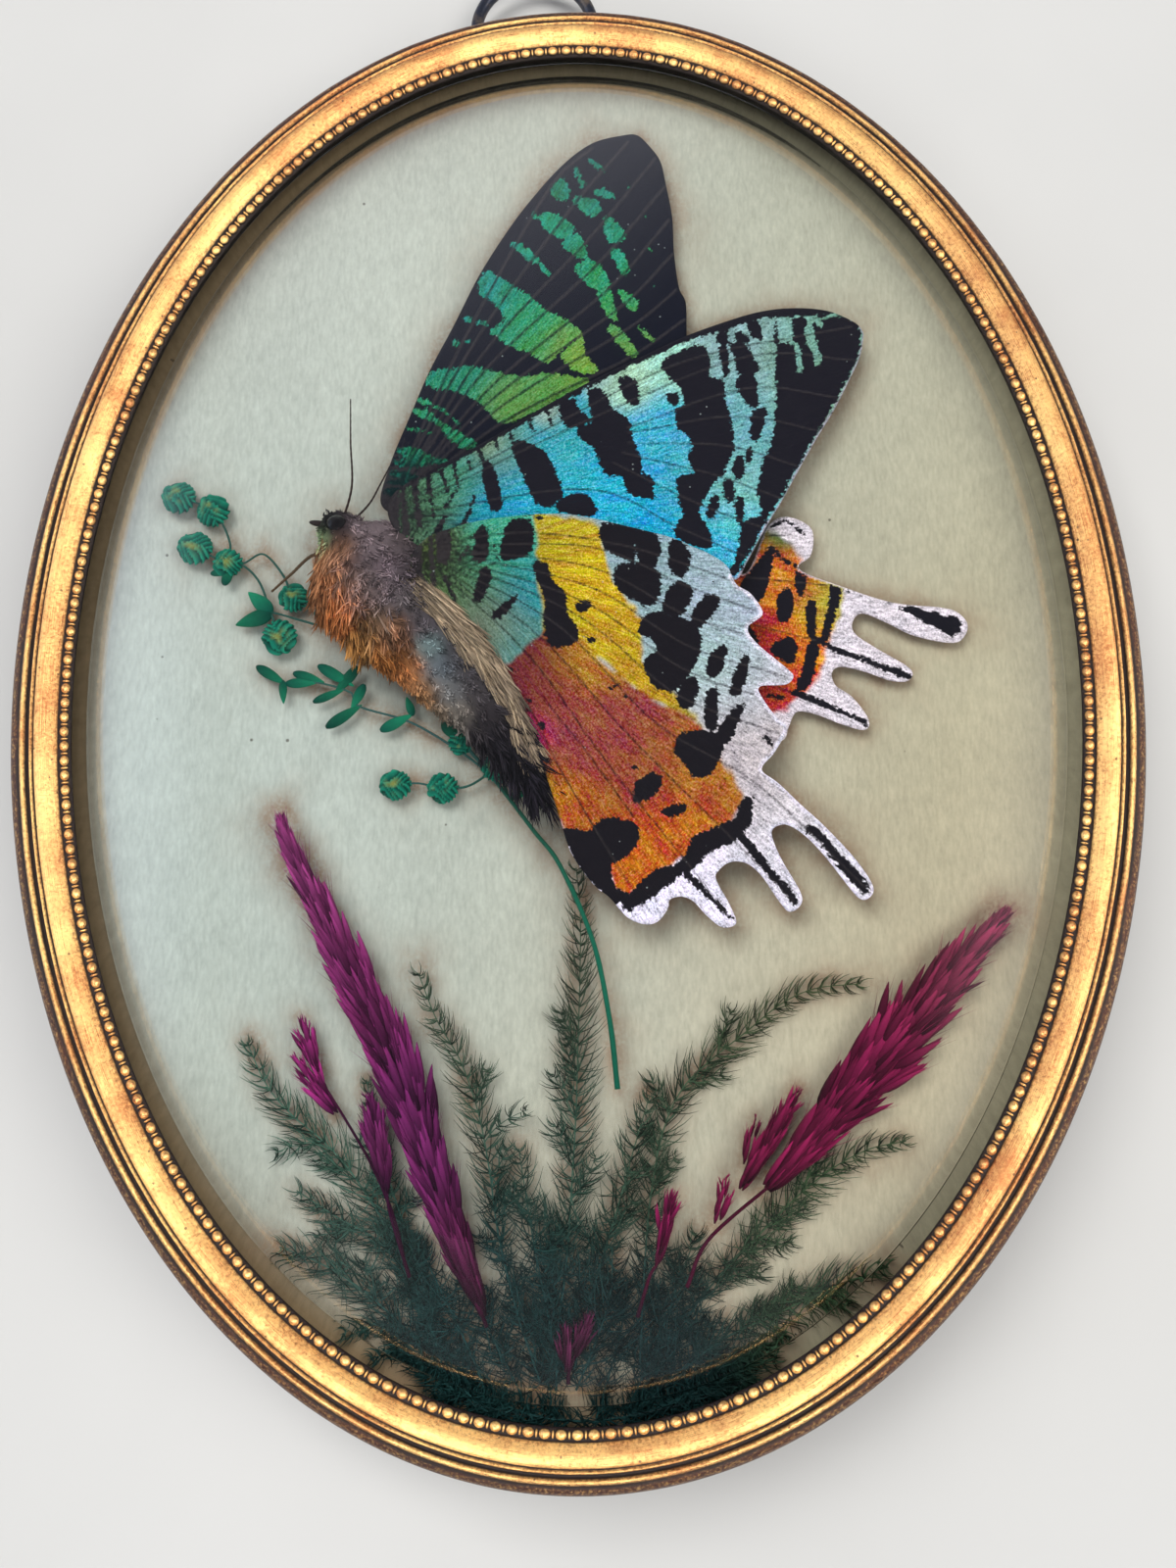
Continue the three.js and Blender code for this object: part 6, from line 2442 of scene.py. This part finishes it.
@dataclass
class FeatherGrass:
    """A dyed plume: ears of overlapping lance-shaped spikelets with fine awns, on one stem."""

    node: str
    depth: float
    ears: str
    stem: str
    seed: int
    spikelet_step: float = 7.0
    spikelet_length: float = 58.0
    spikelet_width: float = 0.082
    spikelet_gap: float = 6.5
    side_stray: float = 0.22
    rank_depth: float = 0.16
    awns: int = 4
    awn_length: tuple[float, float] = (0.45, 0.85)
    awn_radius: float = 0.035
    stem_radius: float = 0.18
    tints: str = """310,880,60,130,50,104 360,990,50,110,34,86 430,1150,60,100,30,84
        320,1080,30,150,40,112 390,1170,16,104,36,82 980,980,50,122,36,66 880,1100,60,114,20,62
        790,1180,40,122,22,66 680,1240,30,128,26,76 590,1370,30,88,34,66 480,1290,40,84,28,62"""

    def spikelets(self, half: float, line: Array, rng: Rng) -> Array:
        """Where the spikelets of one ear start and end, in ranks across the ear.

        Args:
            half: the ear's half width.
            line: its middle line on the sheet, tip first.
            rng: the plume's random numbers.

        Returns:
            Rows of start u, start v, end u, end v and depth.
        """
        count = len(line)
        ranks = max(2, round(2 * half / self.spikelet_gap))
        pick = np.repeat(np.arange(6, count, self.spikelet_step), ranks)
        total = len(pick)
        side = np.tile(np.linspace(-1, 1, ranks), total // ranks)
        side = side + rng.normal(size=total) * self.side_stray
        pick = np.clip(pick + rng.normal(size=total) * 4, 2, count - 1).astype(int)
        towards = unit(line[pick - 2] - line[pick])
        across = np.stack([-towards[:, 1], towards[:, 0]], -1)
        share = pick / count
        reach = half * np.minimum(1.0, share * 1.8) ** 1.1 * (1.1 - 0.85 * share**3) * side
        size = self.spikelet_length * rng.uniform(0.7, 1.1, total) * min(1.0, 0.5 + half / 40)
        size = np.minimum(size, pick * (1 - 0.4 * np.abs(side)) + 6.0)
        start = line[pick] + across * (reach * 0.5)[:, None]
        drift = reach * 0.5 + rng.normal(size=total) * 3
        end = start + towards * size[:, None] + across * drift[:, None]
        deep = self.depth + self.rank_depth * (np.abs(side) + rng.uniform(-1, 1, total))
        return np.column_stack([start, end, deep])

    def build(self) -> list[WideLine]:
        """Makes and dresses the plume, and gives back its middle lines with half widths."""
        rng = np.random.default_rng(self.seed)
        ears = read_branches(self.ears, 1.0, 24)
        rows = np.vstack([self.spikelets(half, line, rng) for half, line in ears])
        count = len(rows)
        start = SHEET.land(rows[:, :2], rows[:, 4])
        way = SHEET.land(rows[:, 2:4], rows[:, 4] - rng.uniform(0.0, 0.15, count)) - start
        length = np.linalg.norm(way, axis=1)
        width = length * self.spikelet_width * rng.uniform(0.75, 1.15, count)
        axes = axes_along(way, length, width, rng.normal(size=count) * 0.35)
        husks = scattered(QuakingGrass.husk_form(7, 6), start, axes)
        hairs = count * self.awns
        lean = rng.normal(size=(hairs, 3)) * [0.13, 0.03, 0.13]
        root = np.repeat(start + way * 0.4, self.awns, axis=0)
        lean += unit(np.repeat(way, self.awns, axis=0))
        length = np.repeat(length, self.awns) * rng.uniform(*self.awn_length, hairs)
        axes = axes_along(lean, length, np.full(hairs, self.awn_radius), np.zeros(hairs))
        awns = scattered(blade_form(0.06), root, axes)
        first = ears[0][1]
        path = np.vstack([first[len(first) // 3 :: 12], read_points(self.stem)[1:]])
        path = SHEET.land(smooth_path(path, 60), self.depth + 0.1)
        stem = tube(path, np.linspace(0.08, self.stem_radius, 60), 8).with_field("shade", 0.35)
        whole = Surface.joined([part.plain("shade") for part in (husks, awns, stem)])
        # Painted shade: each spikelet and awn is darkest at its base, under the ones that overlap
        # it, and lightest at its tip; the stem stays dark.
        stem_darkening = np.full(len(stem.points), 0.2)
        shade_along = [husks.fields["along"], awns.fields["along"] * 0.6 + 0.5, stem_darkening]
        light = 0.16 + 1.2 * np.concatenate(shade_along)[:, None] ** 1.2
        tint = blended(SHEET.seen_at(whole.points), self.tints) * light
        finish = StoredTint("dyed_" + self.node, roughness=0.6, vary=0.75, grain_scale=3000.0)
        whole.with_field("tint", tint).to_piece(
            self.node + "_plume", finish.make(), "dyed_plume", replaces=(self.node,)
        )
        return [(line[::8], half * 0.6) for half, line in ears]


PLUMES = (
    FeatherGrass("feather_grass_left", -6.0, """
24 288,836 310,890 335,940 358,990 385,1040 408,1090 432,1160 455,1230 478,1295 498,1345
""", "440,1185 470,1280 498,1350", 41),
    FeatherGrass("feather_grass_small", -5.1, """
11 311,1040 318,1066 328,1098
10 304,1078 320,1100 348,1138
""", "340,1118 378,1180 402,1235 414,1280", 42),
    FeatherGrass("feather_grass_bud", -6.05, "12 378,1118 384,1145 390,1175 398,1216",
                 "388,1180 400,1235 420,1300", 43),
    FeatherGrass("feather_grass_right", -5.3, """
30 1022,930 1004,952 974,986 934,1034 897,1080 858,1126 818,1170 780,1212
10 812,1112 796,1140 776,1176 752,1216
8 770,1140 766,1160 758,1190
8 738,1200 736,1222 728,1250
""", "752,1222 722,1262 700,1310", 44),
    FeatherGrass("feather_grass_low", -6.2, "9 685,1216 680,1240 674,1270 668,1290",
                 "676,1262 662,1300 650,1340", 45),
    FeatherGrass("feather_grass_foot", -5.45, """
10 600,1340 594,1362 584,1385
10 578,1352 578,1370 578,1396
""", "584,1380 581,1395 580,1406", 46),
)


# ------------------------------------------------------------------------------- making


def main() -> None:
    """Builds the case, the moth, the plants and the studio."""
    logging.basicConfig(level=logging.INFO, format="%(name)s %(message)s")
    studio = Studio()
    studio.build_camera()
    studio.build_stage()
    metals = bpy.data.collections.new("metals")
    for piece in GiltMoulding().build() + HangingFittings().build():
        metals.objects.link(piece)
    studio.build_lights(metals)
    DomeGlass().build()
    board = BrownBoard("brown_board").make()
    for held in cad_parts["back_board"].material_slots:
        held.material = board
    wings = (FAR_FOREWING, FAR_HINDWING, NEAR_FOREWING, NEAR_HINDWING)
    outlines = [wing.build() for wing in wings]
    lines = MothBody().build() + QuakingGrass().build()
    for plant in (*FERN_SPRAYS, *PLUMES):
        lines += plant.build()
    BackingCard().build(outlines, lines)
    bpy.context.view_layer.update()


if __name__ == "__main__":
    main()
